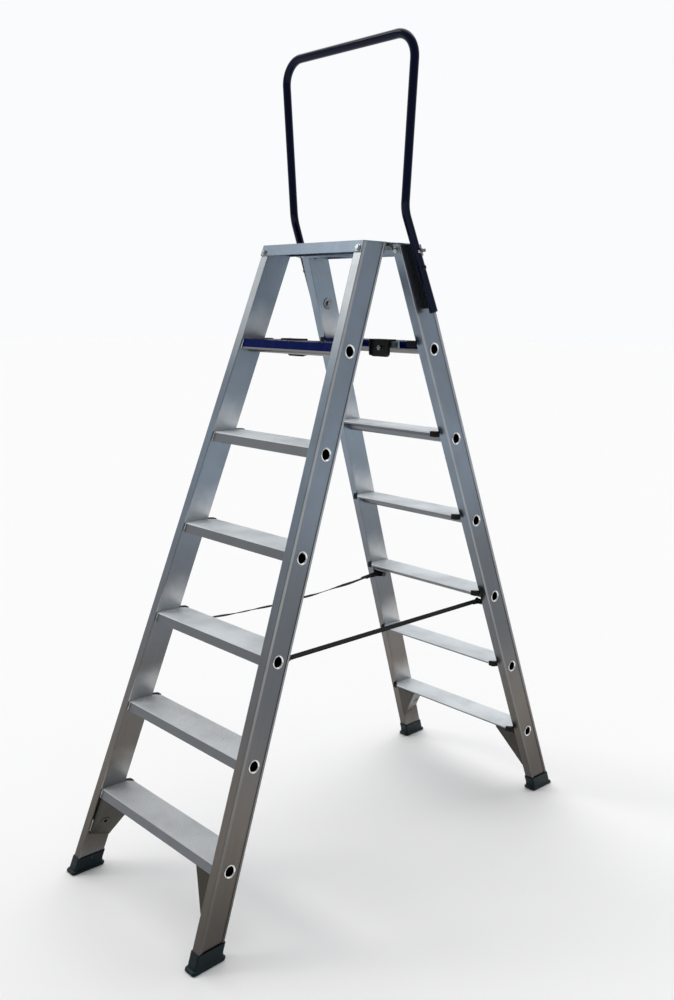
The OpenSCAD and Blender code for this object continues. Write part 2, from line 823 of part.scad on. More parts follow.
module strap_studs() {
    color(STEEL) for (side = [-1, 1])
        at_stud() on_side(side) {
            translate([stud_face - stud_len, 0, 0]) rotate([0, 90, 0])
                cylinder(d = stud_d, h = stud_len + stile_wall);
            translate([stud_face - stud_len - stud_head_t, 0, 0]) rotate([0, 90, 0])
                cylinder(d = stud_head_d, h = stud_head_t);
        }
}

// The webbing's loop round one stud, with its sewn end along the band's underside
module strap_loop() {
    difference() {
        union() {
            circle(loop_out);
            polygon([[0, -loop_out], [strap_tail, loop_in], [0, loop_in]]);
        }
        circle(loop_in);
        polygon([[0, -loop_in], [strap_tail - 2 * strap_t, loop_in], [0, loop_in]]);
    }
}

module strap_ends(slope) {
    for (turn = [0, 1])
        mirror([turn, 0]) translate([stud_y, stud_z]) rotate(-slope) strap_loop();
}

module taut_strap() {
    strap_ends(0);
    translate([stud_y, stud_z + loop_in]) square([-2 * stud_y, strap_t]);
}

module slack_strap() {
    low = stud_z + loop_in - strap_sag;
    strap_ends(sag_slope);
    intersection() {
        translate([0, low + sag_r]) difference() {
            circle(sag_r, $fn = 360);
            circle(sag_r - strap_t, $fn = 360);
        }
        translate([stud_y, low - over]) square([-2 * stud_y, strap_sag + 2 * strap_t]);
    }
}

module strap(side) {
    color(BLACK) translate([side * strap_mid, 0, 0]) across(strap_w / 2)
        if (side > 0)
            taut_strap();
        else
            slack_strap();
}

// Folding stops on the uppermost treads

stop_mid = -stop_in - stop_w / 2;

module stop_outline() {
    low = -stop_down;
    high = tread_top + stop_t;
    translate([-stop_w / 2, low + stop_r]) square([stop_w, high - low - stop_r]);
    translate([stop_r - stop_w / 2, low]) square([stop_w - 2 * stop_r, stop_r]);
    for (x = [stop_r - stop_w / 2, stop_w / 2 - stop_r])
        translate([x, low + stop_r]) circle(stop_r);
}

module stop_plate() {
    deep = stop_t + stop_flange;
    color(BLACK) difference() {
        at_tread(last_tread) translate([stop_mid, tread_back, 0]) difference() {
            union() {
                translate([0, deep, 0]) rotate([90, 0, 0]) linear_extrude(deep) stop_outline();
                translate([-stop_w / 2, -stop_fold, tread_top]) cube([stop_w, stop_fold + over, stop_t]);
            }
            translate([stop_t - stop_w / 2, stop_t, -far / 2]) cube([stop_w - 2 * stop_t, far, far]);
        }
        on_stop_bolt() cylinder(d = stop_bolt_d + 2 * bolt_fit, h = 4 * stop_t, center = true);
    }
}

// In the plane of the tread's nose, behind the stop plate, pointing away from the tread
module on_stop_bolt() {
    at_tread(last_tread) translate([stop_mid, tread_back, 0]) rotate([-90, 0, 0]) children();
}

module stop_bolt() {
    nut = stop_bolt_d * nut_share;
    color(STEEL) on_stop_bolt() {
        translate([0, 0, stop_t]) hex(stop_bolt_d, stop_head);
        translate([0, 0, -nut - over]) cylinder(d = stop_bolt_d, h = nut + stop_t + 2 * over);
        translate([0, 0, -nut]) hex(stop_bolt_d, nut);
    }
}

module spring_clip() {
    run = clip_len - clip_r - clip_t;
    color(STEEL) at_tread(last_tread)
        translate([stop_mid - stop_w / 2, tread_back, tread_top - clip_h]) mirror([1, 0, 0])
        linear_extrude(clip_h) {
            square([run, clip_t]);
            translate([run, clip_t + clip_r]) difference() {
                circle(clip_r + clip_t);
                circle(clip_r);
                translate([-far, -far / 2]) square(far);
            }
        }
}

// Handrail bow

module bow_section(swell) {
    difference() {
        circle(d = bow_d + swell);
        circle(d = bow_d - 2 * bow_wall + swell);
    }
}

// From a point on, along Z: a straight stretch, then the bend towards X and what follows it
module bow_from(i) {
    rotate([0, 0, twist(i + 1)]) {
        low = i > 0 ? -bow_seam : 0;
        high = run_length(i) + (i < last_run ? bow_seam : 0);
        translate([0, 0, low]) linear_extrude(high - low) bow_section(0);
        if (i < last_run)
            translate([BOW_BENDS[i + 1], 0, run_length(i)]) {
                rotate([90, 0, 180]) rotate_extrude(angle = bend_angle(i + 1))
                    translate([BOW_BENDS[i + 1], 0]) bow_section(bow_swell);
                rotate([0, bend_angle(i + 1), 0]) translate([-BOW_BENDS[i + 1], 0, 0]) bow_from(i + 1);
            }
    }
}

// The first leg stands on its lower end, turned so that its bend lies towards X
module bow_tube() {
    up = run_dir(0);
    inward = bend_in(1);
    third = cross(up, inward);
    multmatrix([
        [inward[0], third[0], up[0], leg_end[0]],
        [inward[1], third[1], up[1], leg_end[1]],
        [inward[2], third[2], up[2], leg_end[2]]]) bow_from(0);
}

// On a leg's axis, pointing straight out of the stile
module on_leg_axis(side, s) {
    on_stile(side) translate(on_leg(s)) rotate([0, 90, 0]) children();
}

// Distances from a leg's axis to the stile's faces, inwards
to_inner = bow_off + stile_w;
to_recess = bow_off + recess;

// The upper bolt passes right through, the lower one ends in the tube, the screw ends in the stile's wall
module bow_holes(side) {
    hole = bow_bolt_d + 2 * bolt_fit;
    on_leg_axis(side, bow_bolt_low) translate([0, 0, -to_inner - over]) cylinder(d = hole, h = to_inner);
    on_leg_axis(side, bow_bolt_high) translate([0, 0, -to_inner - over])
        cylinder(d = hole, h = to_inner + bow_d);
    on_leg_axis(side, bow_screw) translate([0, 0, -to_recess - stile_wall - over])
        cylinder(d = hole, h = to_recess + bow_d);
}

module handrail_bow() {
    color(BLUE) turned("rear") difference() {
        bow_tube();
        for (side = [-1, 1])
            bow_holes(side);
    }
}

module bow_saddle(side) {
    color(BLACK) turned("rear") difference() {
        intersection() {
            on_stile(side) difference() {
                translate([-recess, bow_depth, -bow_low]) rotate([-bow_tilt, 0, 0])
                    translate([0, -saddle_w / 2, saddle_low])
                    cube([to_recess, saddle_w, bow_leg]);
                translate([bow_off, bow_depth, -bow_low]) rotate([-bow_tilt, 0, 0])
                    cylinder(d = bow_d + 2 * saddle_fit, h = 3 * bow_leg, center = true);
            }
            slab(0, top_h - cap_t);
        }
        bow_holes(side);
    }
}

// Bolts pass from the stile's inner face out through the bow
module bow_bolts() {
    head = bow_bolt_d * head_share;
    high = to_inner + bow_d / 2 + bow_bolt_d * nut_share + bow_thread;
    low = to_inner - bow_d / 2 + bow_wall;
    BOLTS = [[bow_bolt_high, high, washer_d], [bow_bolt_low, low, wide_washer_d]];
    color(STEEL) turned("rear") for (side = [-1, 1], bolt = BOLTS)
        on_leg_axis(side, bolt[0]) translate([0, 0, -to_inner]) {
            cylinder(d = bow_bolt_d, h = bolt[1]);
            translate([0, 0, -washer_t]) cylinder(d = bolt[2], h = washer_t);
            translate([0, 0, -washer_t - head]) hex(bow_bolt_d, head);
        }
}

module bow_nuts() {
    color(STEEL) turned("rear") for (side = [-1, 1])
        on_leg_axis(side, bow_bolt_high) translate([0, 0, bow_d / 2]) difference() {
            hex(bow_bolt_d, bow_bolt_d * nut_share);
            cylinder(d = bow_bolt_d + 2 * bolt_fit, h = bow_d, center = true);
        }
}

module bow_screws() {
    color(BLACK) turned("rear") for (side = [-1, 1])
        on_leg_axis(side, bow_screw) {
            translate([0, 0, bow_d / 2]) dome(bow_bolt_d * hex_share, bow_bolt_d / 2);
            translate([0, 0, -to_recess - stile_wall])
                cylinder(d = bow_bolt_d, h = to_recess + stile_wall + bow_d / 2 + over);
        }
}

module bow_end_plugs() {
    color(BLACK) turned("rear") for (side = [-1, 1])
        on_stile(side) translate(on_leg(0)) rotate([-bow_tilt, 0, 0]) {
            translate([0, 0, -bow_plug_t]) cylinder(d = bow_d, h = bow_plug_t);
            cylinder(d = bow_d - 2 * bow_wall - 2 * bolt_fit, h = 3 * bow_plug_t);
        }
}

// Which nodes are drawn

function shown(name) = node == "all" || node == name;

for (s = SECTIONS) {
    right = s == "front" ? 1 : -1;
    for (k = TREADS)
        if (shown(str(s, "_tread_", k))) turned(s) tread(k, k == last_tread ? BLUE : ALUMINIUM);
    if (shown(str(s, "_stile_left"))) turned(s) stile(-right, s == "rear");
    if (shown(str(s, "_stile_right"))) turned(s) stile(right, s == "rear");
    if (shown(str(s, "_top_channel"))) turned(s) top_channel();
    if (shown(str(s, "_tread_plugs"))) turned(s) tread_plugs();
    if (shown(str(s, "_foot_left"))) turned(s) foot(-right);
    if (shown(str(s, "_foot_right"))) turned(s) foot(right);
    if (shown(str(s, "_foot_screws"))) turned(s) foot_screws();
    if (shown(str(s, "_brace_left"))) turned(s) brace(-right);
    if (shown(str(s, "_brace_right"))) turned(s) brace(right);
    if (shown(str(s, "_brace_rivets"))) turned(s) brace_rivets();
    if (shown(str(s, "_top_bolts"))) turned(s) top_bolts();
    if (shown(str(s, "_hinge_leaf"))) turned(s) hinge_leaf(s == "front" ? 0 : 1);
    if (shown(str(s, "_hinge_rivets"))) turned(s) hinge_rivets();
    if (shown(str(s, "_strap_studs"))) turned(s) strap_studs();
    if (shown(str(s, "_stop_plate"))) turned(s) stop_plate();
    if (shown(str(s, "_stop_bolt"))) turned(s) stop_bolt();
    if (shown(str(s, "_spring_clip"))) turned(s) spring_clip();
}
if (shown("hinge_pin")) hinge_pin();
if (shown("handrail_bow")) handrail_bow();
if (shown("bow_saddle_left")) bow_saddle(1);
if (shown("bow_saddle_right")) bow_saddle(-1);
if (shown("bow_bolts")) bow_bolts();
if (shown("bow_nuts")) bow_nuts();
if (shown("bow_screws")) bow_screws();
if (shown("bow_end_plugs")) bow_end_plugs();
if (shown("strap_left")) strap(-1);
if (shown("strap_right")) strap(1);
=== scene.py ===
"""Looks of a folding trestle ladder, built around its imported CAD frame."""

from __future__ import annotations

import json
import logging
import math
from dataclasses import dataclass
from enum import Enum
from typing import Iterator, NamedTuple, Sequence

import bmesh
import bpy
from mathutils import Euler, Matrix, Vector

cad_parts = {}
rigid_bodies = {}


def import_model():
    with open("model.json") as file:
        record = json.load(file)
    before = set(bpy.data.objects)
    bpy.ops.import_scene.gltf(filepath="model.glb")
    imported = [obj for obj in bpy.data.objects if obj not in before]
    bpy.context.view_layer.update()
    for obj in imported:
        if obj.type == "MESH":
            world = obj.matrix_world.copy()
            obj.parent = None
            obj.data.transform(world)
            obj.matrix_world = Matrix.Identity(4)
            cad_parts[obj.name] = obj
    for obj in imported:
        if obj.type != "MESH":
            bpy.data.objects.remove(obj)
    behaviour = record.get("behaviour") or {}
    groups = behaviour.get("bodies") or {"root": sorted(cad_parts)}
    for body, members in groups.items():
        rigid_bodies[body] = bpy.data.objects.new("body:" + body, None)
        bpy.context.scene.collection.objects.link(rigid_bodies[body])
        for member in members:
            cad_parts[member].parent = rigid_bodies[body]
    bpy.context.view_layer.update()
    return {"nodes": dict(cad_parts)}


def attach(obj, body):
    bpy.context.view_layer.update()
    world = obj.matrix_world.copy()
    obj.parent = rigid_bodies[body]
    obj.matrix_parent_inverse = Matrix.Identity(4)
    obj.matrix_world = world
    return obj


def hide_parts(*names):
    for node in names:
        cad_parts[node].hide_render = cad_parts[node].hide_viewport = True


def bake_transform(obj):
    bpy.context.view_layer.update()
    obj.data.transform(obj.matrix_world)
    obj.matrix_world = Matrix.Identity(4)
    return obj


LOG = logging.getLogger("ladder")

Triple = tuple[float, float, float]
Colour = Triple
Point = tuple[float, float]
Span = tuple[float, float]
Material = bpy.types.Material
Mesh = bpy.types.Mesh
Node = bpy.types.Node
Piece = bpy.types.Object
Socket = bpy.types.NodeSocket

# Colours of the treads' tube ends, on bare and on painted treads: the rolled rings, and painted shade in the
# bores
RING: Colour = (0.85, 0.86, 0.86)
BORE_SHADE: Colour = (0.004, 0.004, 0.005)


class Section(Enum):
    """The two climbing sections, with the turn of each about the upright axis."""

    FRONT = 1
    REAR = -1

    @property
    def body(self) -> str:
        """Name of the CAD body that the section is."""
        return f"{self.name.lower()}_section"

    @property
    def prefix(self) -> str:
        """First word of the section's CAD nodes."""
        return self.name.lower()


class Side(Enum):
    """The two sides of the ladder, as signs of X."""

    LEFT = -1
    RIGHT = 1

    @property
    def word(self) -> str:
        """The side's word in node names."""
        return self.name.lower()


class Grain(Enum):
    """Which way metal was drawn, as the stretch of its lines across, through and along a section."""

    ALONG = (520, 520, 3)
    ACROSS = (3, 520, 520)


@dataclass(frozen=True)
class Plan:
    """The ladder's main sizes in metres, as in the CAD source.

    A run goes along a section's lean and a depth square to it, both from the hinge axis.
    """

    lean: float = math.radians(20.4)
    pin_z: float = 1.629
    pin_gap: float = 0.023
    top_z: float = 1.635
    foot_span: float = 0.578
    top_span: float = 0.364
    stile_w: float = 0.027
    stile_d: float = 0.071
    stile_r: float = 0.002
    recess: float = 0.0016
    first_tread: float = 0.213
    tread_count: int = 6
    tread_set: float = 0.006
    tread_up: float = 0.0173
    tread_top: float = 0.0183
    tread_down: float = 0.006
    tread_d: float = 0.087
    corner_cut: float = 0.016
    tube_depth: float = 0.0374
    tube_bore: float = 0.024
    strap_tread: int = 3
    stud_down: float = 0.016
    stud_depth: float = 0.057
    stud_d: float = 0.008
    stud_len: float = 0.028
    brace_z: float = 0.109
    brace_reach: float = 0.057
    brace_t: float = 0.003
    brace_flange: float = 0.045

    @property
    def sin(self) -> float:
        """Sine of the lean."""
        return math.sin(self.lean)

    @property
    def cos(self) -> float:
        """Cosine of the lean."""
        return math.cos(self.lean)

    @property
    def climb(self) -> float:
        """Depth of the climbing face, seen from the hinge axis."""
        return -(self.pin_gap + self.stile_d)

    @property
    def axis_depth(self) -> float:
        """Depth of the tread tubes' axes."""
        return self.climb + self.tube_depth

    @property
    def tread_rise(self) -> float:
        """Height from tread to tread, which ends flush with the top step."""
        return (self.top_z - self.tread_top - self.first_tread) / self.tread_count

    @property
    def tread_pitch(self) -> float:
        """Spacing of the treads along the lean."""
        return self.tread_rise / self.cos

    @property
    def treads(self) -> range:
        """The treads' numbers, counted from the floor."""
        return range(1, self.tread_count + 1)

    @property
    def top_run(self) -> float:
        """Run of the climbing face at the top step."""
        return self.along(self.top_z, self.climb)

    @property
    def stud_run(self) -> float:
        """Run of the strap studs."""
        return self.tread_run(self.strap_tread) - self.stud_down

    @property
    def brace_run(self) -> float:
        """Run of the braces' lower ends."""
        return self.along(self.brace_z, self.climb)

    @property
    def splay_tan(self) -> float:
        """Outward slope of the stiles."""
        fall = self.top_run - self.along(0.0, self.climb)
        return (self.foot_span - self.top_span) / 2 / fall

    @property
    def splay(self) -> float:
        """Outward slope of the stiles as an angle."""
        return math.atan(self.splay_tan)

    def along(self, z: float, depth: float) -> float:
        """Run along the lean, upwards from the hinge axis, at a height and a depth from that axis."""
        return (z - self.pin_z + depth * self.sin) / self.cos

    def face_y(self, depth: float, z: float) -> float:
        """Y of a face of the front section at a depth from the hinge axis and a height."""
        return (depth + (z - self.pin_z) * self.sin) / self.cos

    def half_width(self, run: float) -> float:
        """Distance of a stile's outer face from the middle, at a run along the lean."""
        return self.top_span / 2 + (self.top_run - run) * self.splay_tan

    def inner_x(self, run: float) -> float:
        """Distance of a stile's inner face from the middle, at a run along the lean."""
        return self.half_width(run) - self.stile_w / math.cos(self.splay)

    def tread_run(self, number: int) -> float:
        """Run of a tread's tube axis, by the tread's number."""
        return self.along(self.first_tread, self.axis_depth) + (number - 1) * self.tread_pitch

    def tread_z(self, number: int) -> float:
        """Height of a tread's tube axis, by the tread's number."""
        return self.first_tread + (number - 1) * self.tread_rise

    def place(self, section: Section, x: float, depth: float, run: float) -> Vector:
        """A point of a leaning section in the shared frame.

        Args:
            section: The section that the point belongs to.
            x: Place across the ladder, in the shared frame.
            depth: Depth from the hinge axis.
            run: Distance along the lean.

        Returns:
            The point in metres.
        """
        y = depth * self.cos + run * self.sin
        z = self.pin_z - depth * self.sin + run * self.cos
        return Vector((x, y * section.value, z))


PLAN = Plan()


class Noise(NamedTuple):
    """Settings of a smooth noise: features per unit, finer layers and their strength."""

    scale: float
    detail: float = 3.0
    rough: float = 0.5


def scaled(colour: Colour, factor: float) -> Colour:
    """A colour made lighter or darker by a factor."""
    return tuple(factor * part for part in colour)


class Shader:
    """Builds the nodes of one procedural material."""

    EDGE_SAMPLES = 4
    # Places of the Mix node's sockets for colours
    MIX_SHARE = 0
    MIX_FIRST = 6
    MIX_SECOND = 7
    MIX_RESULT = 2

    def __init__(self, name: str) -> None:
        """Starts a material with a plain surface.

        Args:
            name: The material's name.
        """
        self.material = bpy.data.materials.new(name)
        self.material.use_nodes = True
        self.tree = self.material.node_tree
        self.tree.nodes.clear()
        self.surface = self.node("ShaderNodeBsdfPrincipled")
        self.node("ShaderNodeOutputMaterial", Surface=self.surface.outputs["BSDF"])

    def put(self, socket: Socket, value: object) -> None:
        """Links or sets a socket.

        Args:
            socket: The input to fill.
            value: Another node's output, a number, a vector or a colour.
        """
        if isinstance(value, Socket):
            self.tree.links.new(value, socket)
        elif socket.type == "RGBA" and len(value) == 3:
            socket.default_value = (*value, 1.0)
        else:
            socket.default_value = value

    def set(self, **inputs: object) -> None:
        """Fills inputs of the surface, named with underscores for spaces."""
        for name, value in inputs.items():
            self.put(self.surface.inputs[name.replace("_", " ")], value)

    def node(self, kind: str, settings: dict[str, object] | None = None, **inputs: object) -> Node:
        """Adds a node.

        Args:
            kind: Blender's type name of the node.
            settings: Properties of the node itself.
            **inputs: Values of its inputs, named with underscores for spaces.

        Returns:
            The new node.
        """
        made = self.tree.nodes.new(kind)
        for name, value in (settings or {}).items():
            setattr(made, name, value)
        for name, value in inputs.items():
            self.put(made.inputs[name.replace("_", " ")], value)
        return made

    def coords(self, kind: str = "Object") -> Socket:
        """Texture coordinates: metres in the shared frame, unless another kind is named."""
        return self.node("ShaderNodeTexCoord").outputs[kind]

    def mapped(
        self, vector: Socket, scale: Triple = (1, 1, 1), turn: Triple = (0, 0, 0), shift: Triple = (0, 0, 0)
    ) -> Socket:
        """Scales, then turns, then shifts coordinates."""
        made = self.node("ShaderNodeMapping", Vector=vector, Scale=scale, Rotation=turn, Location=shift)
        return made.outputs["Vector"]

    def noise(self, vector: Socket, kind: Noise) -> Socket:
        """Smooth noise from 0 to 1."""
        sizes = {"Scale": kind.scale, "Detail": kind.detail, "Roughness": kind.rough}
        return self.node("ShaderNodeTexNoise", Vector=vector, **sizes).outputs["Fac"]

    def math(self, operation: str, *values: object) -> Socket:
        """Does arithmetic on numbers.

        Args:
            operation: Blender's name of the operation.
            *values: The operands.

        Returns:
            The result.
        """
        made = self.node("ShaderNodeMath", {"operation": operation})
        for socket, value in zip(made.inputs, values):
            self.put(socket, value)
        return made.outputs["Value"]

    def split(self, vector: Socket) -> bpy.types.NodeOutputs:
        """Splits a vector into outputs named X, Y and Z."""
        return self.node("ShaderNodeSeparateXYZ", Vector=vector).outputs

    def between(self, value: Socket, span: Span, result: Span = (0.0, 1.0)) -> Socket:
        """Maps a span of a value smoothly to another span.

        Args:
            value: The value.
            span: Start and end of what is mapped.
            result: What start and end become.

        Returns:
            The mapped value.
        """
        ends = {"From_Min": span[0], "From_Max": span[1], "To_Min": result[0], "To_Max": result[1]}
        smooth = {"interpolation_type": "SMOOTHSTEP"}
        return self.node("ShaderNodeMapRange", smooth, Value=value, **ends).outputs["Result"]

    def blended(self, share: object, first: object, second: object) -> Socket:
        """Mixes two colours.

        Args:
            share: Share of the second colour.
            first: A colour or an output.
            second: A colour or an output.

        Returns:
            The mixed colour.
        """
        made = self.node("ShaderNodeMix", {"data_type": "RGBA"})
        self.put(made.inputs[self.MIX_SHARE], share)
        self.put(made.inputs[self.MIX_FIRST], first)
        self.put(made.inputs[self.MIX_SECOND], second)
        return made.outputs[self.MIX_RESULT]

    def bump(self, height: Socket, strength: float, distance: float, edge: float = 0.0) -> Socket:
        """Turns a height into a surface normal.

        Args:
            height: The height, from 0 to 1.
            strength: Strength of the effect.
            distance: Depth of the relief in metres.
            edge: Radius that sharp edges are softened by, in metres.

        Returns:
            The normal.
        """
        made = self.node("ShaderNodeBump", Height=height, Strength=strength, Distance=distance)
        if edge > 0:
            soft = self.node("ShaderNodeBevel", {"samples": self.EDGE_SAMPLES}, Radius=edge)
            self.put(made.inputs["Normal"], soft.outputs["Normal"])
        return made.outputs["Normal"]


class Leaning:
    """A section's own coordinates in a material: place, depth and run from the hinge axis.

    The reach is the distance from the ladder's middle with the stiles' splay taken out, as it
    would be level with the hinge axis. The height is above the floor.
    """

    BORE_FIT = 0.0003

    def __init__(self, shader: Shader, section: Section) -> None:
        """Makes the coordinates.

        Args:
            shader: The material's builder.
            section: Whose coordinates they are.
        """
        shift = (0, PLAN.pin_z * PLAN.sin, -PLAN.pin_z * PLAN.cos)
        scale = (section.value, section.value, 1)
        self.shader = shader
        self.height = shader.split(shader.coords())["Z"]
        self.place = shader.mapped(shader.coords(), scale, (PLAN.lean, 0, 0), shift)
        parts = shader.split(self.place)
        self.depth = parts["Y"]
        self.run = parts["Z"]
        across = shader.math("ABSOLUTE", parts["X"])
        self.reach = shader.math("MULTIPLY_ADD", self.run, PLAN.splay_tan, across)

    def above(self, level: float) -> Socket:
        """Height above a level that comes back at every tread."""
        height = self.shader.math("SUBTRACT", self.height, level)
        return self.shader.math("FLOORED_MODULO", height, PLAN.tread_rise)

    def ring(self) -> Socket:
        """1 on the rolled rings of the treads' tubes and 0 elsewhere."""
        return self.shader.math("GREATER_THAN", self.reach, PLAN.half_width(0) - 2 * PLAN.recess)

    def bore(self) -> Socket:
        """Where the bores of the treads' tubes are, which are painted as shade.

        Returns:
            1 inside a bore and 0 elsewhere.
        """
        sums = self.shader.math
        half = PLAN.tread_pitch / 2
        run = sums("SUBTRACT", self.run, PLAN.tread_run(1) - half)
        run = sums("SUBTRACT", sums("FLOORED_MODULO", run, PLAN.tread_pitch), half)
        depth = sums("SUBTRACT", self.depth, PLAN.axis_depth)
        square = sums("ADD", sums("MULTIPLY", run, run), sums("MULTIPLY", depth, depth))
        return sums("LESS_THAN", sums("SQRT", square), PLAN.tube_bore / 2 + self.BORE_FIT)


@dataclass(frozen=True)
class Finish:
    """A procedural material, which each kind of surface fills in its own way."""

    name: str

    def make(self) -> Material:
        """Builds the material.

        Returns:
            The new material.
        """
        shader = Shader(self.name)
        self.fill(shader)
        return shader.material

    def fill(self, shader: Shader) -> None:
        """Sets the surface's inputs, which a bare finish leaves as they are."""


@dataclass(frozen=True)
class AluminiumFinish(Finish):
    """Mill-finish aluminium, drawn along its grain, with a painted reflection: cool above and warmer towards
    the floor.
    """

    section: Section
    grain: Grain
    cool: Colour
    warm: Colour
    rough: float = 0.36
    lines: float = 0.1
    splay: float = 0.0
    edge: float = 0.0006
    relief: float = 0.0004
    # Runs over which the painted reflection turns from warm below to cool above
    cooling: Span = (-1.55, -0.5)
    drawn: Noise = Noise(1.0, 4.0, 0.65)
    bright: Span = (0.3, 0.72)
    bright_share: float = 1.2
    bright_shade: float = 1.4
    cloud: Noise = Noise(9.0, 4.0, 0.55)
    clouded: Span = (0.35, 0.7)
    cloud_share: float = 0.2
    cloud_shade: float = 0.72
    smear: Noise = Noise(1.0, 3.0, 0.6)
    smear_stretch: Triple = (30, 30, 6)
    smear_rough: float = 0.2

    def fill(self, shader: Shader) -> None:
        """Lays drawn lines, dull clouds and smears over the metal's colour.

        Args:
            shader: The material's builder.
        """
        at = Leaning(shader, self.section)
        turned = shader.mapped(at.place, turn=(0, self.splay, 0))
        lines = shader.noise(shader.mapped(turned, self.grain.value), self.drawn)
        cloud = shader.noise(at.place, self.cloud)
        smear = shader.noise(shader.mapped(at.place, self.smear_stretch), self.smear)
        dull = shader.between(cloud, self.clouded, (0.0, self.cloud_share))
        tint = shader.blended(dull, self.tint(at), scaled(self.warm, self.cloud_shade))
        shine = shader.between(lines, self.bright, (0.0, self.bright_share * self.lines))
        tint = shader.blended(shine, tint, scaled(self.cool, self.bright_shade))
        rough = shader.math("MULTIPLY_ADD", smear, self.smear_rough, self.rough - self.smear_rough / 2)
        tint, rough, metal = self.ends(at, tint, rough)
        shader.set(Base_Color=tint, Roughness=rough, Metallic=metal)
        shader.set(Normal=shader.bump(lines, self.lines, self.relief, self.edge))

    def tint(self, at: Leaning) -> Socket:
        """The metal's colour before grain and smears: a painted reflection, cool above and warmer towards the
        floor.
        """
        reflected = at.shader.between(at.run, self.cooling)
        return at.shader.blended(reflected, self.warm, self.cool)

    def ends(self, at: Leaning, tint: Socket, rough: Socket) -> tuple[Socket, Socket, object]:
        """Colour, roughness and share of bare metal with what differs in places, here nothing."""
        return tint, rough, 1.0


@dataclass(frozen=True)
class StileFinish(AluminiumFinish):
    """The stiles' aluminium: pale raised bands, a painted dark reflection in the middle, darker towards the
    floor, a painted highlight at hand height, and boot scuffs with a painted reflection of the treads.
    """

    band_cool: Colour = (0.38, 0.4, 0.42)
    band_warm: Colour = (0.2, 0.195, 0.185)
    band_zone: Span = (-1.5, -0.3)
    # Colour of a painted dark reflection along the middle of the run
    dull: Colour = (0.095, 0.102, 0.112)
    dull_start: Span = (-1.42, -1.1)
    dull_end: Span = (-0.55, -0.95)
    dull_inside: float = 0.4
    dull_outside: float = 0.3
    # Painted highlight at hand height on the climbing faces, partly hand polish
    polish: Colour = (0.66, 0.68, 0.66)
    polish_zone: Span = (-0.42, -0.16)
    polish_share: float = 0.5
    # Lighter colour just above each tread on the inner faces: partly boot scuffs, partly a painted reflection
    # of the tread tops
    scuff: Colour = (0.66, 0.68, 0.69)
    scuff_zone: Span = (0.1, 0.62)
    scuff_share: float = 0.75
    scuff_patch: Noise = Noise(14.0)
    scuff_drift: float = 0.3
    # Darker towards the floor end of the run
    grime_zone: Span = (-1.42, -1.7)
    grime_share: float = 0.6
    grime_shade: float = 0.3

    def tint(self, at: Leaning) -> Socket:
        """The metal's colour, zone by zone.

        Args:
            at: The section's coordinates.

        Returns:
            The colour.
        """
        shader = at.shader
        sums = shader.math
        outside = sums("GREATER_THAN", at.reach, PLAN.half_width(0) - 1.5 * PLAN.recess)
        raised = sums("GREATER_THAN", at.reach, PLAN.half_width(0) - PLAN.recess / 2)
        climbed = sums("LESS_THAN", at.depth, PLAN.climb + PLAN.stile_r / 2)
        # Painted dark reflection along the middle of the run: strongest on the outer faces, weaker on the
        # inner ones, none on the climbing faces
        start = shader.between(at.run, self.dull_start)
        middle = sums("MULTIPLY", start, shader.between(at.run, self.dull_end))
        amount = sums("MULTIPLY_ADD", outside, self.dull_outside, self.dull_inside)
        amount = sums("MAXIMUM", sums("SUBTRACT", amount, climbed), 0.0)
        tint = shader.blended(sums("MULTIPLY", middle, amount), super().tint(at), self.dull)
        # Paler raised bands, with their own painted reflection, cool above and warmer below
        band = shader.blended(shader.between(at.run, self.band_zone), self.band_warm, self.band_cool)
        tint = shader.blended(raised, tint, band)
        # Painted highlight near the top of the climbing faces, partly hand polish
        polished_and_highlit = sums("MULTIPLY", shader.between(at.run, self.polish_zone, (0.0, self.polish_share)), climbed)
        tint = shader.blended(polished_and_highlit, tint, self.polish)
        # Boot scuffs with a painted reflection of the tread tops
        tint = shader.blended(self._scuffed(at), tint, self.scuff)
        # Darker towards the floor end of the run
        lower_end = shader.between(at.run, self.grime_zone, (0.0, self.grime_share))
        return shader.blended(lower_end, tint, scaled(self.warm, self.grime_shade))

    def _scuffed(self, at: Leaning) -> Socket:
        """Where the stiles' inner faces are lighter just above the treads: partly boot scuffs, partly a
        painted reflection of the tread tops.

        Args:
            at: The section's coordinates.

        Returns:
            Share of the lighter colour.
        """
        shader = at.shader
        rise = PLAN.tread_rise
        inside = shader.math("LESS_THAN", at.reach, PLAN.inner_x(0) + PLAN.recess)
        patches = shader.noise(shader.coords(), self.scuff_patch)
        above = at.above(PLAN.first_tread + PLAN.tread_top)
        above = shader.math("MULTIPLY_ADD", patches, self.scuff_drift * rise, above)
        zone = (self.scuff_zone[0] * rise, self.scuff_zone[1] * rise)
        return shader.math("MULTIPLY", shader.between(above, zone, (self.scuff_share, 0.0)), inside)


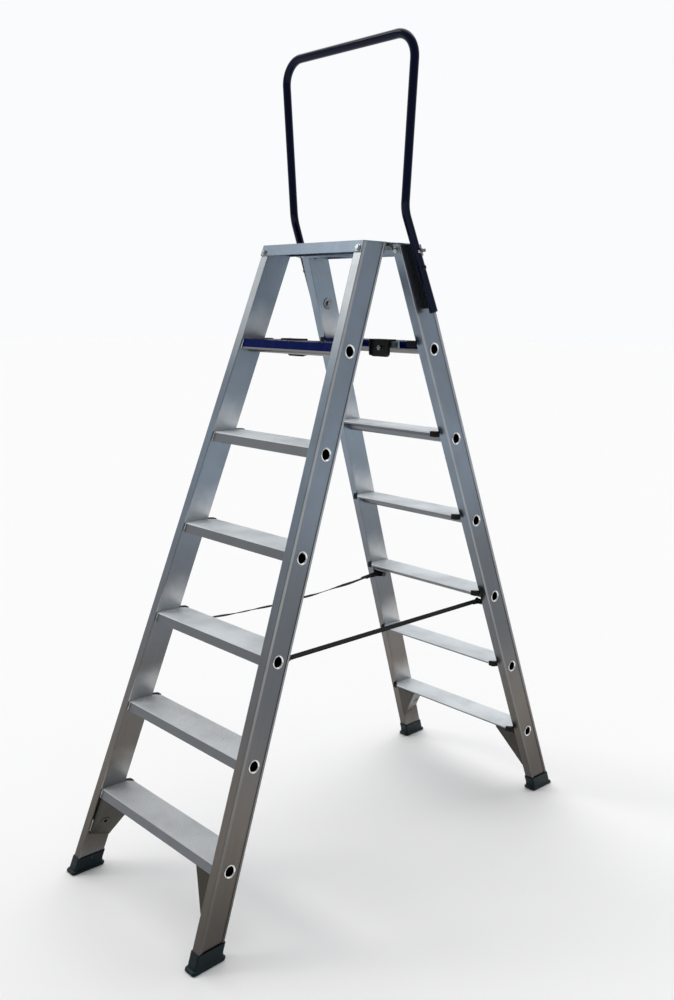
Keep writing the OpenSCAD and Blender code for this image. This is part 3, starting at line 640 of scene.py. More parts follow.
@dataclass(frozen=True)
class TreadFinish(AluminiumFinish):
    """The treads' aluminium: a top painted pale, partly as worn and partly as lit from above, bright rolled
    rings and painted shade in the bores.
    """

    # Pale colour of the tops: partly wear, partly painted light from above
    worn: Colour = (0.83, 0.87, 0.9)
    # Darker colour of the lowest tops, which lightens over a few rises
    soiled: Colour = (0.83, 0.87, 0.9)
    soil_rises: float = 2.5
    oxide: float = 0.8
    top_edge: float = 0.0026
    ring_polish: float = 0.16
    bore_rough: float = 0.7

    @property
    def low(self) -> float:
        """Height of the lowest tread's top edge."""
        return PLAN.first_tread + PLAN.tread_up - self.top_edge

    def on_top(self, at: Leaning) -> Socket:
        """1 on the treads' tops and 0 elsewhere."""
        return at.shader.math("LESS_THAN", at.above(self.low), PLAN.tread_up)

    def tint(self, at: Leaning) -> Socket:
        """The metal's colour, with the tops painted pale, partly wear and partly light from above, and darker
        on the lowest of them.

        Args:
            at: The section's coordinates.

        Returns:
            The colour.
        """
        height = at.shader.math("SUBTRACT", at.height, self.low)
        risen = at.shader.between(height, (0.0, self.soil_rises * PLAN.tread_rise))
        top = at.shader.blended(risen, self.soiled, self.worn)
        return at.shader.blended(self.on_top(at), super().tint(at), top)

    def ends(self, at: Leaning, tint: Socket, rough: Socket) -> tuple[Socket, Socket, object]:
        """Brightens the rolled rings, paints shade into the bores and dulls the tops with oxide.

        Args:
            at: The section's coordinates.
            tint: Colour of the rest.
            rough: Roughness of the rest.

        Returns:
            Colour, roughness and share of bare metal.
        """
        sums = at.shader.math
        ring = at.ring()
        bore = at.bore()
        tint = at.shader.blended(bore, at.shader.blended(ring, tint, RING), BORE_SHADE)
        rough = sums("SUBTRACT", rough, sums("MULTIPLY", ring, self.ring_polish))
        rough = sums("MAXIMUM", rough, sums("MULTIPLY", bore, self.bore_rough))
        return tint, rough, sums("MULTIPLY_ADD", self.on_top(at), -self.oxide, 1.0)


@dataclass(frozen=True)
class PaintFinish(Finish):
    """A coat of paint with a faint orange peel and worn specks."""

    colour: Colour
    worn: Colour
    rough: float
    gloss: float
    peel: float = 0.35
    wear: float = 0.7
    sheen: Colour = (1.0, 1.0, 1.0)
    speck: Noise = Noise(170.0, 4.0, 0.6)
    speck_edge: float = 0.05
    patch: Noise = Noise(7.0, 3.0, 0.55)
    patch_worn: Span = (0.5, 0.66)
    patch_pale: Span = (0.3, 0.7)
    pale: float = 1.25
    dust: Noise = Noise(40.0, 3.0, 0.6)
    dusty: Span = (0.3, 0.8)
    dust_rough: float = 0.14
    skin: Noise = Noise(420.0, 2.0)
    relief: float = 0.0003
    edge: float = 0.0006

    def fill(self, shader: Shader) -> None:
        """Lays patches, worn specks, dust and orange peel over the paint's colour.

        Args:
            shader: The material's builder.
        """
        base = shader.coords()
        patch = shader.noise(base, self.patch)
        specks = shader.between(shader.noise(base, self.speck), (self.wear, self.wear + self.speck_edge))
        worn = shader.math("MULTIPLY", specks, shader.between(patch, self.patch_worn))
        pale = shader.between(patch, self.patch_pale)
        shade = shader.blended(pale, self.colour, scaled(self.colour, self.pale))
        dust = shader.noise(base, self.dust)
        shader.set(
            Base_Color=shader.blended(worn, shade, self.worn),
            Roughness=shader.between(dust, self.dusty, (self.rough, self.rough + self.dust_rough)),
            Specular_IOR_Level=self.gloss,
            Specular_Tint=self.sheen,
            Normal=shader.bump(shader.noise(base, self.skin), self.peel, self.relief, self.edge),
        )


@dataclass(frozen=True)
class TreadPaintFinish(PaintFinish):
    """Glossy paint on the highest tread, with a bare strip along its bottom and bare tube ends."""

    section: Section = Section.FRONT
    bare: Colour = (0.17, 0.17, 0.165)
    bare_pale: float = 1.25
    bare_rough: float = 0.36
    strip_down: float = 0.001
    drawn: Noise = Noise(1.0, 4.0, 0.65)

    def fill(self, shader: Shader) -> None:
        """Paints the tread and bares its strip and ends.

        Args:
            shader: The material's builder.
        """
        super().fill(shader)
        at = Leaning(shader, self.section)
        sums = shader.math
        strip = sums("LESS_THAN", at.height, PLAN.tread_z(PLAN.tread_count) - self.strip_down)
        in_stile = sums("GREATER_THAN", at.reach, PLAN.half_width(0) - PLAN.stile_w)
        strip = sums("MAXIMUM", strip, in_stile)
        lines = shader.noise(shader.mapped(at.place, Grain.ACROSS.value), self.drawn)
        metal = shader.blended(lines, self.bare, scaled(self.bare, self.bare_pale))
        # Bare rolled rings, and painted shade in the bores
        metal = shader.blended(at.bore(), shader.blended(at.ring(), metal, RING), BORE_SHADE)
        paint = shader.surface.inputs["Base Color"].links[0].from_socket
        rough = shader.surface.inputs["Roughness"].links[0].from_socket
        shader.set(
            Base_Color=shader.blended(strip, paint, metal),
            Metallic=strip,
            Roughness=sums("MAXIMUM", rough, sums("MULTIPLY", strip, self.bare_rough)),
        )


@dataclass(frozen=True)
class SteelFinish(Finish):
    """Plated or plain steel with fine turning marks and tarnish."""

    colour: Colour
    tarnish: Colour
    rough: float
    cloud: Noise = Noise(60.0, 4.0, 0.6)
    tarnished: Span = (0.45, 0.75)
    dulled: Span = (0.3, 0.75)
    dull_rough: float = 0.18
    marks: Noise = Noise(900.0, 2.0)
    mark_strength: float = 0.12
    mark_depth: float = 0.0002
    edge: float = 0.0005

    def fill(self, shader: Shader) -> None:
        """Lays tarnish and turning marks over the steel's colour.

        Args:
            shader: The material's builder.
        """
        base = shader.coords()
        cloud = shader.noise(base, self.cloud)
        marks = shader.noise(base, self.marks)
        shader.set(
            Base_Color=shader.blended(shader.between(cloud, self.tarnished), self.colour, self.tarnish),
            Metallic=1.0,
            Roughness=shader.between(cloud, self.dulled, (self.rough, self.rough + self.dull_rough)),
            Normal=shader.bump(marks, self.mark_strength, self.mark_depth, self.edge),
        )


@dataclass(frozen=True)
class MouldedFinish(Finish):
    """Moulded rubber or plastic with a fine grain and dust in it."""

    colour: Colour
    dust: Colour
    rough: float
    gloss: float = 0.5
    sheen: Colour = (1.0, 1.0, 1.0)
    cloud: Noise = Noise(22.0, 4.0, 0.6)
    dusty: Span = (0.4, 0.8)
    dust_share: float = 0.6
    dulled: Span = (0.3, 0.7)
    dull_rough: float = 0.16
    grain: Noise = Noise(900.0, 3.0, 0.6)
    grain_strength: float = 0.25
    grain_depth: float = 0.0003
    edge: float = 0.0008

    def fill(self, shader: Shader) -> None:
        """Lays dust and a moulded grain over the colour.

        Args:
            shader: The material's builder.
        """
        base = shader.coords()
        cloud = shader.noise(base, self.cloud)
        dust = shader.between(cloud, self.dusty, (0.0, self.dust_share))
        grain = shader.noise(base, self.grain)
        shader.set(
            Base_Color=shader.blended(dust, self.colour, self.dust),
            Roughness=shader.between(cloud, self.dulled, (self.rough, self.rough + self.dull_rough)),
            Specular_IOR_Level=self.gloss,
            Specular_Tint=self.sheen,
            Normal=shader.bump(grain, self.grain_strength, self.grain_depth, self.edge),
        )


@dataclass(frozen=True)
class WebbingFinish(Finish):
    """Woven strap webbing, its weave laid out in metres on the UV map."""

    colour: Colour
    light: Colour
    pitch: float = 0.0022
    slant: float = 1.2
    fuzz: Noise = Noise(1500.0, 2.0, 0.6)
    fuzzy: Span = (0.2, 0.8)
    rough: Span = (0.75, 0.95)
    gloss: float = 0.1
    weave_strength: float = 0.6
    weave_depth: float = 0.0004

    def fill(self, shader: Shader) -> None:
        """Weaves the threads and roughens them with fuzz.

        Args:
            shader: The material's builder.
        """
        sums = shader.math
        parts = shader.split(shader.coords("UV"))
        turn = math.tau / self.pitch
        warp = sums("SINE", sums("MULTIPLY", parts["Y"], turn))
        slant = sums("MULTIPLY_ADD", sums("ABSOLUTE", warp), self.slant, sums("MULTIPLY", parts["X"], turn))
        weave = sums("MULTIPLY", sums("ADD", warp, sums("SINE", slant)), 1 / 4)
        weave = sums("ADD", weave, 1 / 2)
        fuzz = shader.noise(shader.coords(), self.fuzz)
        shader.set(
            Base_Color=shader.blended(sums("MULTIPLY", weave, fuzz), self.colour, self.light),
            Roughness=shader.between(fuzz, self.fuzzy, self.rough),
            Specular_IOR_Level=self.gloss,
            Normal=shader.bump(weave, self.weave_strength, self.weave_depth),
        )


def placed(name: str, mesh: Mesh, material: Material) -> Piece:
    """Puts a mesh into the scene as a piece at the origin.

    Args:
        name: The piece's name.
        mesh: Its mesh, in the shared frame.
        material: Its material.

    Returns:
        The new object.
    """
    mesh.name = name
    mesh.materials.clear()
    mesh.materials.append(material)
    piece = bpy.data.objects.new(name, mesh)
    bpy.context.scene.collection.objects.link(piece)
    return piece


def plain_mesh(made: bmesh.types.BMesh) -> Mesh:
    """Turns an edit mesh into a plain one.

    Args:
        made: The edit mesh, which is freed.

    Returns:
        The new mesh.
    """
    mesh = bpy.data.meshes.new("form")
    made.to_mesh(mesh)
    made.free()
    return mesh


def loft(
    made: bmesh.types.BMesh, rings: Sequence[Sequence[Sequence[float]]], smooth: bool
) -> list[bmesh.types.BMFace]:
    """Joins rings of points into a closed form whose faces point outwards.

    Args:
        made: The edit mesh to add to.
        rings: The rings, each with as many points.
        smooth: Whether the walls are shaded smooth.

    Returns:
        The walls between the rings, without the two ends.
    """
    rows = [[made.verts.new(point) for point in ring] for ring in rings]
    made.faces.new(rows[0])
    made.faces.new(rows[-1])
    walls = []
    for low, high in zip(rows, rows[1:]):
        for i in range(len(low)):
            k = (i + 1) % len(low)
            walls.append(made.faces.new((low[i], low[k], high[k], high[i])))
            walls[-1].smooth = smooth
    bmesh.ops.recalc_face_normals(made, faces=made.faces)
    return walls


def bead(segments: int, rings: int = 6) -> Mesh:
    """A round bead of unit radius, smooth shaded.

    Args:
        segments: Number of segments.
        rings: Number of rings.

    Returns:
        The mesh.
    """
    made = bmesh.new()
    bmesh.ops.create_uvsphere(made, u_segments=segments, v_segments=rings, radius=1.0)
    for face in made.faces:
        face.smooth = True
    return plain_mesh(made)


class Spot(NamedTuple):
    """Where one copy of a repeated form stands, how it is turned and how much it swells."""

    place: Vector
    turn: Euler
    swell: Triple = (1.0, 1.0, 1.0)


class Repeater:
    """Sets copies of one small form on spots with Geometry Nodes."""

    def __init__(self, name: str, form: Mesh, size: Triple, material: Material) -> None:
        """Holds what is repeated.

        Args:
            name: Name of the finished piece.
            form: The form, of unit size.
            size: Size of a copy on each axis, in metres.
            material: The copies' material.
        """
        self.name = name
        self.form = bpy.data.objects.new(f"{name}_form", form)
        self.size = size
        self.material = material

    def _tree(self) -> tuple[bpy.types.NodeTree, str]:
        """Builds the node tree that sets the copies.

        Returns:
            The geometry node tree, and the identifier of its input for the copies' size.
        """
        tree = bpy.data.node_groups.new(f"{self.name}_repeat", "GeometryNodeTree")
        tree.interface.new_socket("Geometry", in_out="INPUT", socket_type="NodeSocketGeometry")
        size = tree.interface.new_socket("Size", in_out="INPUT", socket_type="NodeSocketVector")
        tree.interface.new_socket("Geometry", in_out="OUTPUT", socket_type="NodeSocketGeometry")
        start = tree.nodes.new("NodeGroupInput")
        end = tree.nodes.new("NodeGroupOutput")
        source = tree.nodes.new("GeometryNodeObjectInfo")
        source.inputs["Object"].default_value = self.form
        copies = tree.nodes.new("GeometryNodeInstanceOnPoints")
        swollen = tree.nodes.new("ShaderNodeVectorMath")
        swollen.operation = "MULTIPLY"
        for name, socket in (("turn", copies.inputs["Rotation"]), ("swell", swollen.inputs[0])):
            read = tree.nodes.new("GeometryNodeInputNamedAttribute")
            read.data_type = "FLOAT_VECTOR"
            read.inputs["Name"].default_value = name
            tree.links.new(read.outputs["Attribute"], socket)
        real = tree.nodes.new("GeometryNodeRealizeInstances")
        dress = tree.nodes.new("GeometryNodeSetMaterial")
        dress.inputs["Material"].default_value = self.material
        tree.links.new(start.outputs["Geometry"], copies.inputs["Points"])
        tree.links.new(start.outputs["Size"], swollen.inputs[1])
        tree.links.new(swollen.outputs["Vector"], copies.inputs["Scale"])
        tree.links.new(source.outputs["Geometry"], copies.inputs["Instance"])
        tree.links.new(copies.outputs["Instances"], real.inputs["Geometry"])
        tree.links.new(real.outputs["Geometry"], dress.inputs["Geometry"])
        tree.links.new(dress.outputs["Geometry"], end.inputs["Geometry"])
        return tree, size.identifier

    def build(self, spots: Sequence[Spot]) -> Piece:
        """Makes one plain mesh of all the copies.

        Args:
            spots: Where the copies stand.

        Returns:
            The finished piece, at the origin.
        """
        mesh = bpy.data.meshes.new(f"{self.name}_spots")
        mesh.from_pydata([spot.place for spot in spots], [], [])
        for name in ("turn", "swell"):
            attribute = mesh.attributes.new(name, "FLOAT_VECTOR", "POINT")
            attribute.data.foreach_set("vector", [part for spot in spots for part in getattr(spot, name)])
        holder = bpy.data.objects.new(f"{self.name}_holder", mesh)
        bpy.context.scene.collection.objects.link(holder)
        repeat = holder.modifiers.new("repeat", "NODES")
        repeat.node_group, size = self._tree()
        repeat[size] = self.size
        graph = bpy.context.evaluated_depsgraph_get()
        result = bpy.data.meshes.new_from_object(holder.evaluated_get(graph))
        for name in ("turn", "swell"):
            if name in result.attributes:
                result.attributes.remove(result.attributes[name])
        bpy.data.objects.remove(holder)
        bpy.data.objects.remove(self.form)
        return placed(self.name, result, self.material)


@dataclass
class Straps:
    """The two spreader straps, one taut and one slack, with their sewn ends."""

    webbing: Material
    thread: Material
    width: float = 0.025
    thick: float = 0.002
    fit: float = 0.0003
    tail: float = 0.048
    tail_lap: float = 1.15
    tail_flat: float = 0.8
    tail_curve: tuple[Point, ...] = ((0.55, 0.25), (0.3, -0.55), (0.12, -0.93))
    sag: float = 0.022
    rock: float = math.radians(26)
    rocks: int = 5
    rock_mean: float = 0.7
    rock_swing: float = 0.3
    rock_fade: int = 4
    still: int = 45
    steps: int = 160
    turn_steps: int = 24
    width_steps: int = 8
    edge_turns: Triple = (-0.8, 0.0, 0.8)
    stitch: Triple = (0.0004, 0.0015, 0.0004)
    stitch_start: float = 0.018
    stitch_pitch: float = 0.0042
    stitch_count: int = 7
    stitch_rows: tuple[float, ...] = (-0.009, -0.003, 0.003, 0.009)
    stitch_segments: int = 8

    @property
    def stud(self) -> Vector:
        """Where the axis of the front studs lies, in the side plane."""
        return PLAN.place(Section.FRONT, 0, PLAN.climb + PLAN.stud_depth, PLAN.stud_run)

    @property
    def middle_x(self) -> float:
        """Distance of a strap's middle from the ladder's middle."""
        return PLAN.inner_x(PLAN.stud_run) - PLAN.stud_len / 2

    @property
    def ring(self) -> float:
        """Radius of the webbing's middle round a stud."""
        return PLAN.stud_d / 2 + self.fit + self.thick / 2

    def _band(self, slack: bool) -> list[Point]:
        """The upper band's centre line between the studs' tops.

        Args:
            slack: Whether the band sags.

        Returns:
            Points in Y and Z, from front to rear.
        """
        stud = self.stud
        reach = -stud.y
        top = stud.z + self.ring
        shares = [2 * i / self.steps - 1 for i in range(self.steps + 1)]
        if not slack:
            return [(reach * share, top) for share in shares]
        radius = (reach**2 + self.sag**2) / (2 * self.sag)
        half = math.asin(reach / radius)
        centre = top - self.sag + radius
        return [(radius * math.sin(half * a), centre - radius * math.cos(half * a)) for a in shares]

    def _end(self, slope: float) -> list[Point]:
        """A sewn end: from its tail under the band, back to the stud and round it.

        Args:
            slope: Downward slope of the band where it leaves the stud.

        Returns:
            Points in Y and Z for the front end, up to the stud's top.
        """
        ring = self.ring
        under = ring - self.tail_lap * self.thick
        flat = [(self.tail, under), (self.tail_flat * self.tail, under)]
        flat += [(self.tail * share, ring * rise) for share, rise in self.tail_curve]
        angles = [math.pi * i / self.turn_steps for i in range(self.turn_steps)]
        turn = [(-ring * math.sin(a), -ring * math.cos(a)) for a in angles]
        stud = self.stud
        cos = math.cos(-slope)
        sin = math.sin(-slope)
        return [(stud.y + y * cos - z * sin, stud.z + y * sin + z * cos) for y, z in flat + turn]

    def _route(self, slack: bool) -> list[Point]:
        """The whole centre line, from one tail round both studs to the other.

        Args:
            slack: Whether the band sags.

        Returns:
            Points in Y and Z.
        """
        band = self._band(slack)
        fall = math.atan2(band[0][1] - band[1][1], band[1][0] - band[0][0])
        first = self._end(fall)
        return first + band + [(-y, z) for y, z in reversed(first)]

    def _profile(self) -> list[Point]:
        """The band's section with rounded edges.

        Returns:
            Points across the width and through the thickness.
        """
        thick = self.thick / 2
        flat = self.width / 2 - thick
        upper = [(flat - 2 * flat * i / self.width_steps, thick) for i in range(self.width_steps + 1)]
        right = [(flat + thick * math.cos(a), thick * math.sin(a)) for a in self.edge_turns]
        return right + upper + [(-x, -z) for x, z in right] + [(-x, -z) for x, z in upper]

    def _rock(self, share: float) -> float:
        """How far the slack band is rocked over.

        Args:
            share: Place along the band, from 0 to 1.

        Returns:
            The turn about the band's run, in radians.
        """
        free = max(0.0, 1.0 - (2 * share - 1) ** self.rock_fade)
        swing = self.rock_mean - self.rock_swing * math.cos(math.tau * self.rocks * share)
        return self.rock * free * swing

    def band_mesh(self, side: Side) -> Mesh:
        """The webbing of one strap.

        Args:
            side: Which strap. The left one is slack.

        Returns:
            The mesh, in the shared frame, with the weave's layout in metres.
        """
        slack = side is Side.LEFT
        route = [Vector(point) for point in self._route(slack)]
        profile = self._profile()
        last = len(route) - 1
        reach = -self.stud.y
        middle = side.value * self.middle_x
        rings = []
        runs = [0.0]
        for i, here in enumerate(route):
            before = route[max(i - 1, 0)]
            along = (route[min(i + 1, last)] - before).normalized()
            runs.append(runs[-1] + (here - before).length)
            moves = slack and self.still < i < len(route) - self.still
            rock = self._rock((here.x + reach) / (2 * reach)) if moves else 0.0
            ring = []
            for x, up in profile:
                across = x * math.cos(rock) - up * math.sin(rock)
                lift = x * math.sin(rock) + up * math.cos(rock)
                ring.append((middle + across, here.x - along.y * lift, here.y + along.x * lift))
            rings.append(ring)
        made = bmesh.new()
        layer = made.loops.layers.uv.new("UVMap")
        walls = loft(made, rings, smooth=True)
        made.verts.index_update()
        for wall in walls:
            for loop in wall.loops:
                row, column = divmod(loop.vert.index, len(profile))
                loop[layer].uv = (runs[row + 1], profile[column][0])
        return plain_mesh(made)

    def stitch_spots(self, side: Side) -> list[Spot]:
        """Where the stitches of a strap's sewn ends lie.

        Args:
            side: Which strap.

        Returns:
            One spot for each stitch.
        """
        band = self._band(side is Side.LEFT)
        first = band[0][0]
        spots = []
        for end in (1, -1):
            for row in self.stitch_rows:
                for step in range(self.stitch_count):
                    y = first + self.stitch_start + step * self.stitch_pitch
                    i = next(i for i, point in enumerate(band) if point[0] >= y)
                    (y0, z0), (y1, z1) = band[i - 1], band[i]
                    z = z0 + (y - y0) / (y1 - y0) * (z1 - z0)
                    slope = math.atan2(z1 - z0, y1 - y0)
                    place = Vector((side.value * self.middle_x + row, end * y, z + self.thick / 2))
                    spots.append(Spot(place, Euler((end * slope, 0, 0))))
        return spots

    def build(self) -> Iterator[Piece]:
        """Makes both straps and hides their CAD solids.

        Yields:
            Each band and its stitches.
        """
        start = self.stud
        for side in Side:
            band = placed(f"webbing_{side.word}", self.band_mesh(side), self.webbing)
            form = bead(self.stitch_segments)
            sewing = Repeater(f"stitches_{side.word}", form, self.stitch, self.thread)
            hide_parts(f"strap_{side.word}")
            for piece in (band, sewing.build(self.stitch_spots(side))):
                Section.FRONT.body
                Section.REAR.body
                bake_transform(piece)
                yield piece


@dataclass
class Feet:
    """The four rubber feet: a sleeve round the stile that flares into a rounded sole."""

    material: Material
    height: float = 0.043
    floor: float = 0.011
    sole_side: float = 0.0065
    sole_end: float = 0.0108
    rim: float = 0.0092
    flare: float = 0.025
    flare_steps: int = 10
    sweep: float = 2.4
    edge: float = 0.0036
    edge_steps: int = 5
    lip: float = 0.001
    inner_lip: Span = (0.0003, 0.0004)
    shift: float = 0.0023
    sleeve: float = 0.003
    sleeve_round: float = 0.0034
    sole_round: float = 0.003
    corner_steps: int = 8
    side_shares: Triple = (0.04, 0.5, 0.96)
    fit: float = 0.00015

    def _levels(self) -> list[Triple]:
        """The foot's outline from the sole up, over the sleeve's edge and down inside it.

        Returns:
            Height, share of the sole's overhang past the sleeve, and overhang taken off everywhere.
        """
        edge = self.edge
        lip = self.lip
        quarter = [math.pi / 2 * i / self.edge_steps for i in range(self.edge_steps + 1)]
        sole = [(edge - edge * math.cos(a), 1.0, edge - edge * math.sin(a)) for a in quarter]
        rim = [(self.rim - edge + edge * math.sin(a), 1.0, edge - edge * math.cos(a)) for a in quarter]
        flare = []
        for i in range(1, self.flare_steps + 1):
            rise = i / self.flare_steps
            left = (1 - rise) ** self.sweep
            flare.append((self.rim + (self.flare - self.rim) * rise, left, edge * left))
        top = [(self.height - lip + lip * math.sin(a), 0.0, lip - lip * math.cos(a)) for a in quarter]
        inside = self.sleeve - self.fit
        back, down = self.inner_lip
        inner = [(self.height, 0.0, inside - back), (self.height - down, 0.0, inside)]
        return sole + rim + flare + top + inner + [(self.floor, 0.0, inside)]

    def _outline(self, wide: float, long: float, corner: float) -> list[Point]:
        """A rounded rectangle with points close to its corners.

        Args:
            wide: Half its width.
            long: Half its length.
            corner: Radius of its corners.

        Returns:
            Points in order.
        """
        points: list[Point] = []
        for x, y, start in ((1, 1, 0), (-1, 1, 1), (-1, -1, 2), (1, -1, 3)):
            middle = (x * (wide - corner), y * (long - corner))
            turns = [math.pi / 2 * (start + i / self.corner_steps) for i in range(self.corner_steps + 1)]
            arc = [(middle[0] + corner * math.cos(a), middle[1] + corner * math.sin(a)) for a in turns]
            next_x, next_y = (-x, y) if start % 2 == 0 else (x, -y)
            reach = (next_x * (wide - corner) - middle[0], next_y * (long - corner) - middle[1])
            last_x, last_y = arc[-1]
            points += arc + [(last_x + reach[0] * t, last_y + reach[1] * t) for t in self.side_shares]
        return points

    def mesh(self, section: Section, side: Side) -> Mesh:
        """One foot.

        Args:
            section: The section that it is on.
            side: Which stile it is on.

        Returns:
            The mesh, in the shared frame.
        """
        middle = PLAN.climb + PLAN.stile_d / 2
        half = PLAN.stile_w / 2 / math.cos(PLAN.splay)
        end = PLAN.stile_d / 2 / PLAN.cos
        skew = -PLAN.splay_tan * PLAN.sin
        rings = []
        for z, share, less in self._levels():
            wide = self.sleeve + (self.sole_side - self.sleeve) * share - less
            long = self.sleeve + (self.sole_end - self.sleeve) * share - less
            outer = min(1.0, max(0.0, wide / self.sleeve))
            corner = PLAN.stile_r + self.fit + self.sleeve_round * outer + self.sole_round * share
            x_middle = PLAN.half_width(PLAN.along(z, middle)) - half
            y_middle = PLAN.face_y(middle, z) + self.shift * min(1.0, share)
            ring = []
            for x, y in self._outline(half + wide, end + long, corner):
                ring.append((side.value * (x_middle + x + skew * y), section.value * (y_middle + y), z))
            rings.append(ring)
        made = bmesh.new()
        loft(made, rings, smooth=True)
        return plain_mesh(made)

    def build(self) -> Iterator[Piece]:
        """Makes the feet, sets them on their bodies and hides their CAD solids.

        Yields:
            Each foot.
        """
        for section in Section:
            for side in Side:
                word = f"{section.prefix}_foot_{side.word}"
                piece = placed(f"{word}_moulding", self.mesh(section, side), self.material)
                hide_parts(word)
                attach(piece, section.body)
                yield piece


@dataclass
class Gussets:
    """The plates that close the braces behind, on the treads' nose side."""

    materials: dict[Section, Material]
    set_in: float = 0.0003

    def mesh(self, section: Section) -> Mesh:
        """Both plates of one section.

        Args:
            section: Which section.

        Returns:
            The mesh, in the shared frame.
        """
        foot = PLAN.brace_run
        under = PLAN.first_tread - PLAN.tread_down
        slope = PLAN.brace_reach / ((under - PLAN.brace_z) / PLAN.cos)
        outer = PLAN.climb + PLAN.stile_d - self.set_in
        made = bmesh.new()
        for side in Side:
            faces = []
            for depth in (outer, outer - PLAN.brace_t):
                top = PLAN.along(under, depth)
                corners = ((0, foot + 2 * PLAN.brace_t), ((top - foot) * slope - PLAN.brace_t, top), (0, top))
                across = [(side.value * (PLAN.inner_x(run) - reach), run) for reach, run in corners]
                faces.append([PLAN.place(section, x, depth, run) for x, run in across])
            loft(made, faces, smooth=False)
        return plain_mesh(made)

    def build(self) -> Iterator[Piece]:
        """Makes the plates and sets them on their bodies.

        Yields:
            Both plates of each section, as one piece.
        """
        for section in Section:
            piece = placed(f"{section.prefix}_brace_gussets", self.mesh(section), self.materials[section])
            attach(piece, section.body)
            yield piece


@dataclass
class Plugs:
    """The plastic plugs that fill the cut nose corners of the treads."""

    material: Material
    height: float = 0.012
    proud: float = 0.003
    wrap: float = 0.006
    edge: float = 0.0009
    edge_steps: int = 2
    edge_shape: float = 0.5

    def _corners(self, number: int) -> list[Triple]:
        """The corners of a plug's plan, along the cut and then past the stile's back edge.

        Args:
            number: The tread's number.

        Returns:
            Points level with the tread's plate, for the right end of a front tread.
        """
        axis = PLAN.place(Section.FRONT, 0, PLAN.axis_depth, PLAN.tread_run(number))
        front = (PLAN.tread_set - PLAN.tube_depth + PLAN.tread_up * PLAN.sin) / PLAN.cos
        nose = axis.y + front + PLAN.tread_d
        start = nose - PLAN.corner_cut
        wide = PLAN.inner_x(start * PLAN.sin + (axis.z - PLAN.pin_z) * PLAN.cos)
        past = wide + self.wrap
        plan = [(wide, start), (wide - PLAN.corner_cut, nose), (wide, nose)]
        plan += [(past, start + self.wrap), (past, start)]
        return [(x, y, axis.z + PLAN.tread_up) for x, y in plan]

    def mesh(self, section: Section) -> Mesh:
        """All plugs of one section.

        Args:
            section: Which section.

        Returns:
            The mesh, in the shared frame.
        """
        made = bmesh.new()
        for side in Side:
            for number in PLAN.treads:
                plan = [(side.value * x, section.value * y, z) for x, y, z in self._corners(number)]
                levels = (-self.height, self.proud)
                loft(made, [[(x, y, z + level) for x, y, z in plan] for level in levels], smooth=False)
        bmesh.ops.bevel(
            made,
            geom=made.edges[:],
            offset=self.edge,
            segments=self.edge_steps,
            affect="EDGES",
            profile=self.edge_shape,
        )
        return plain_mesh(made)

    def build(self) -> Iterator[Piece]:
        """Makes the plugs, sets them on their bodies and hides their CAD solids.

        Yields:
            The plugs of each section, as one piece.
        """
        for section in Section:
            piece = placed(f"{section.prefix}_corner_plugs", self.mesh(section), self.material)
            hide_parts(f"{section.prefix}_tread_plugs")
            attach(piece, section.body)
            yield piece


@dataclass
class Welds:
    """Weld beads at the ends of the treads' fronts and along the braces' flanges."""

    material: Material
    bead: float = 0.0024
    bead_height: float = 0.8
    bead_segments: int = 10
    step: float = 0.0032
    swell: float = 0.16
    swell_beat: float = 5.1
    swell_drift: float = 13
    turn: float = 0.5
    tread_margin: float = 0.002
    brace_margins: Span = (0.012, 0.003)

    def _line(self, section: Section, side: Side, low: float, high: float) -> Iterator[Spot]:
        """A weld along a stile's inner face, in the corner before a tread's front.

        Args:
            section: The section that it is on.
            side: Which stile.
            low: Run of its lower end.
            high: Run of its upper end.

        Yields:
            One spot for each ripple of the bead.
        """
        count = max(2, round((high - low) / self.step))
        turn = Euler((-PLAN.lean * section.value, 0, self.turn * side.value))
        for i in range(count + 1):
            run = low + (high - low) * i / count
            swell = 1 + self.swell * math.sin(self.swell_beat * i + self.swell_drift * run + section.value)
            place = PLAN.place(section, side.value * PLAN.inner_x(run), PLAN.climb + PLAN.tread_set, run)
            yield Spot(place, turn, (swell, swell, 1.0))

    def _ends(self) -> list[Span]:
        """Lower and upper runs of all the welds on one stile.

        Returns:
            The treads' welds from the floor up, and the brace's weld last.
        """
        depth = PLAN.climb + PLAN.tread_set
        ends = []
        for number in PLAN.treads:
            low = PLAN.tread_z(number) - PLAN.tread_down + self.tread_margin
            high = PLAN.tread_z(number) + PLAN.tread_up - self.tread_margin
            ends.append((PLAN.along(low, depth), PLAN.along(high, depth)))
        start, stop = self.brace_margins
        return ends + [(PLAN.brace_run + start, PLAN.brace_run + PLAN.brace_flange - stop)]

    def build(self) -> Iterator[Piece]:
        """Makes the welds of both sections and sets them on their bodies.

        Yields:
            The welds of each section, as one piece.
        """
        size = (self.bead, self.bead, self.bead_height * self.bead)
        for section in Section:
            spots: list[Spot] = []
            for side in Side:
                for low, high in self._ends():
                    spots += self._line(section, side, low, high)
            repeat = Repeater(f"{section.prefix}_welds", bead(self.bead_segments), size, self.material)
            piece = repeat.build(spots)
            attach(piece, section.body)
            yield piece


@dataclass(frozen=True)
class SoftLamp:
    """A distant broad lamp, which lights the floor evenly."""

    name: str
    towards: Vector
    spread: float
    power: float
    colour: Colour
    distance: float = 4

    def build(self) -> None:
        """Adds the lamp to the scene."""
        data = bpy.data.lights.new(self.name, "SUN")
        data.energy = self.power
        data.angle = math.radians(self.spread)
        data.color = self.colour
        lamp = bpy.data.objects.new(self.name, data)
        lamp.location = self.towards * self.distance
        lamp.rotation_euler = self.towards.to_track_quat("Z", "Y").to_euler()
        bpy.context.scene.collection.objects.link(lamp)


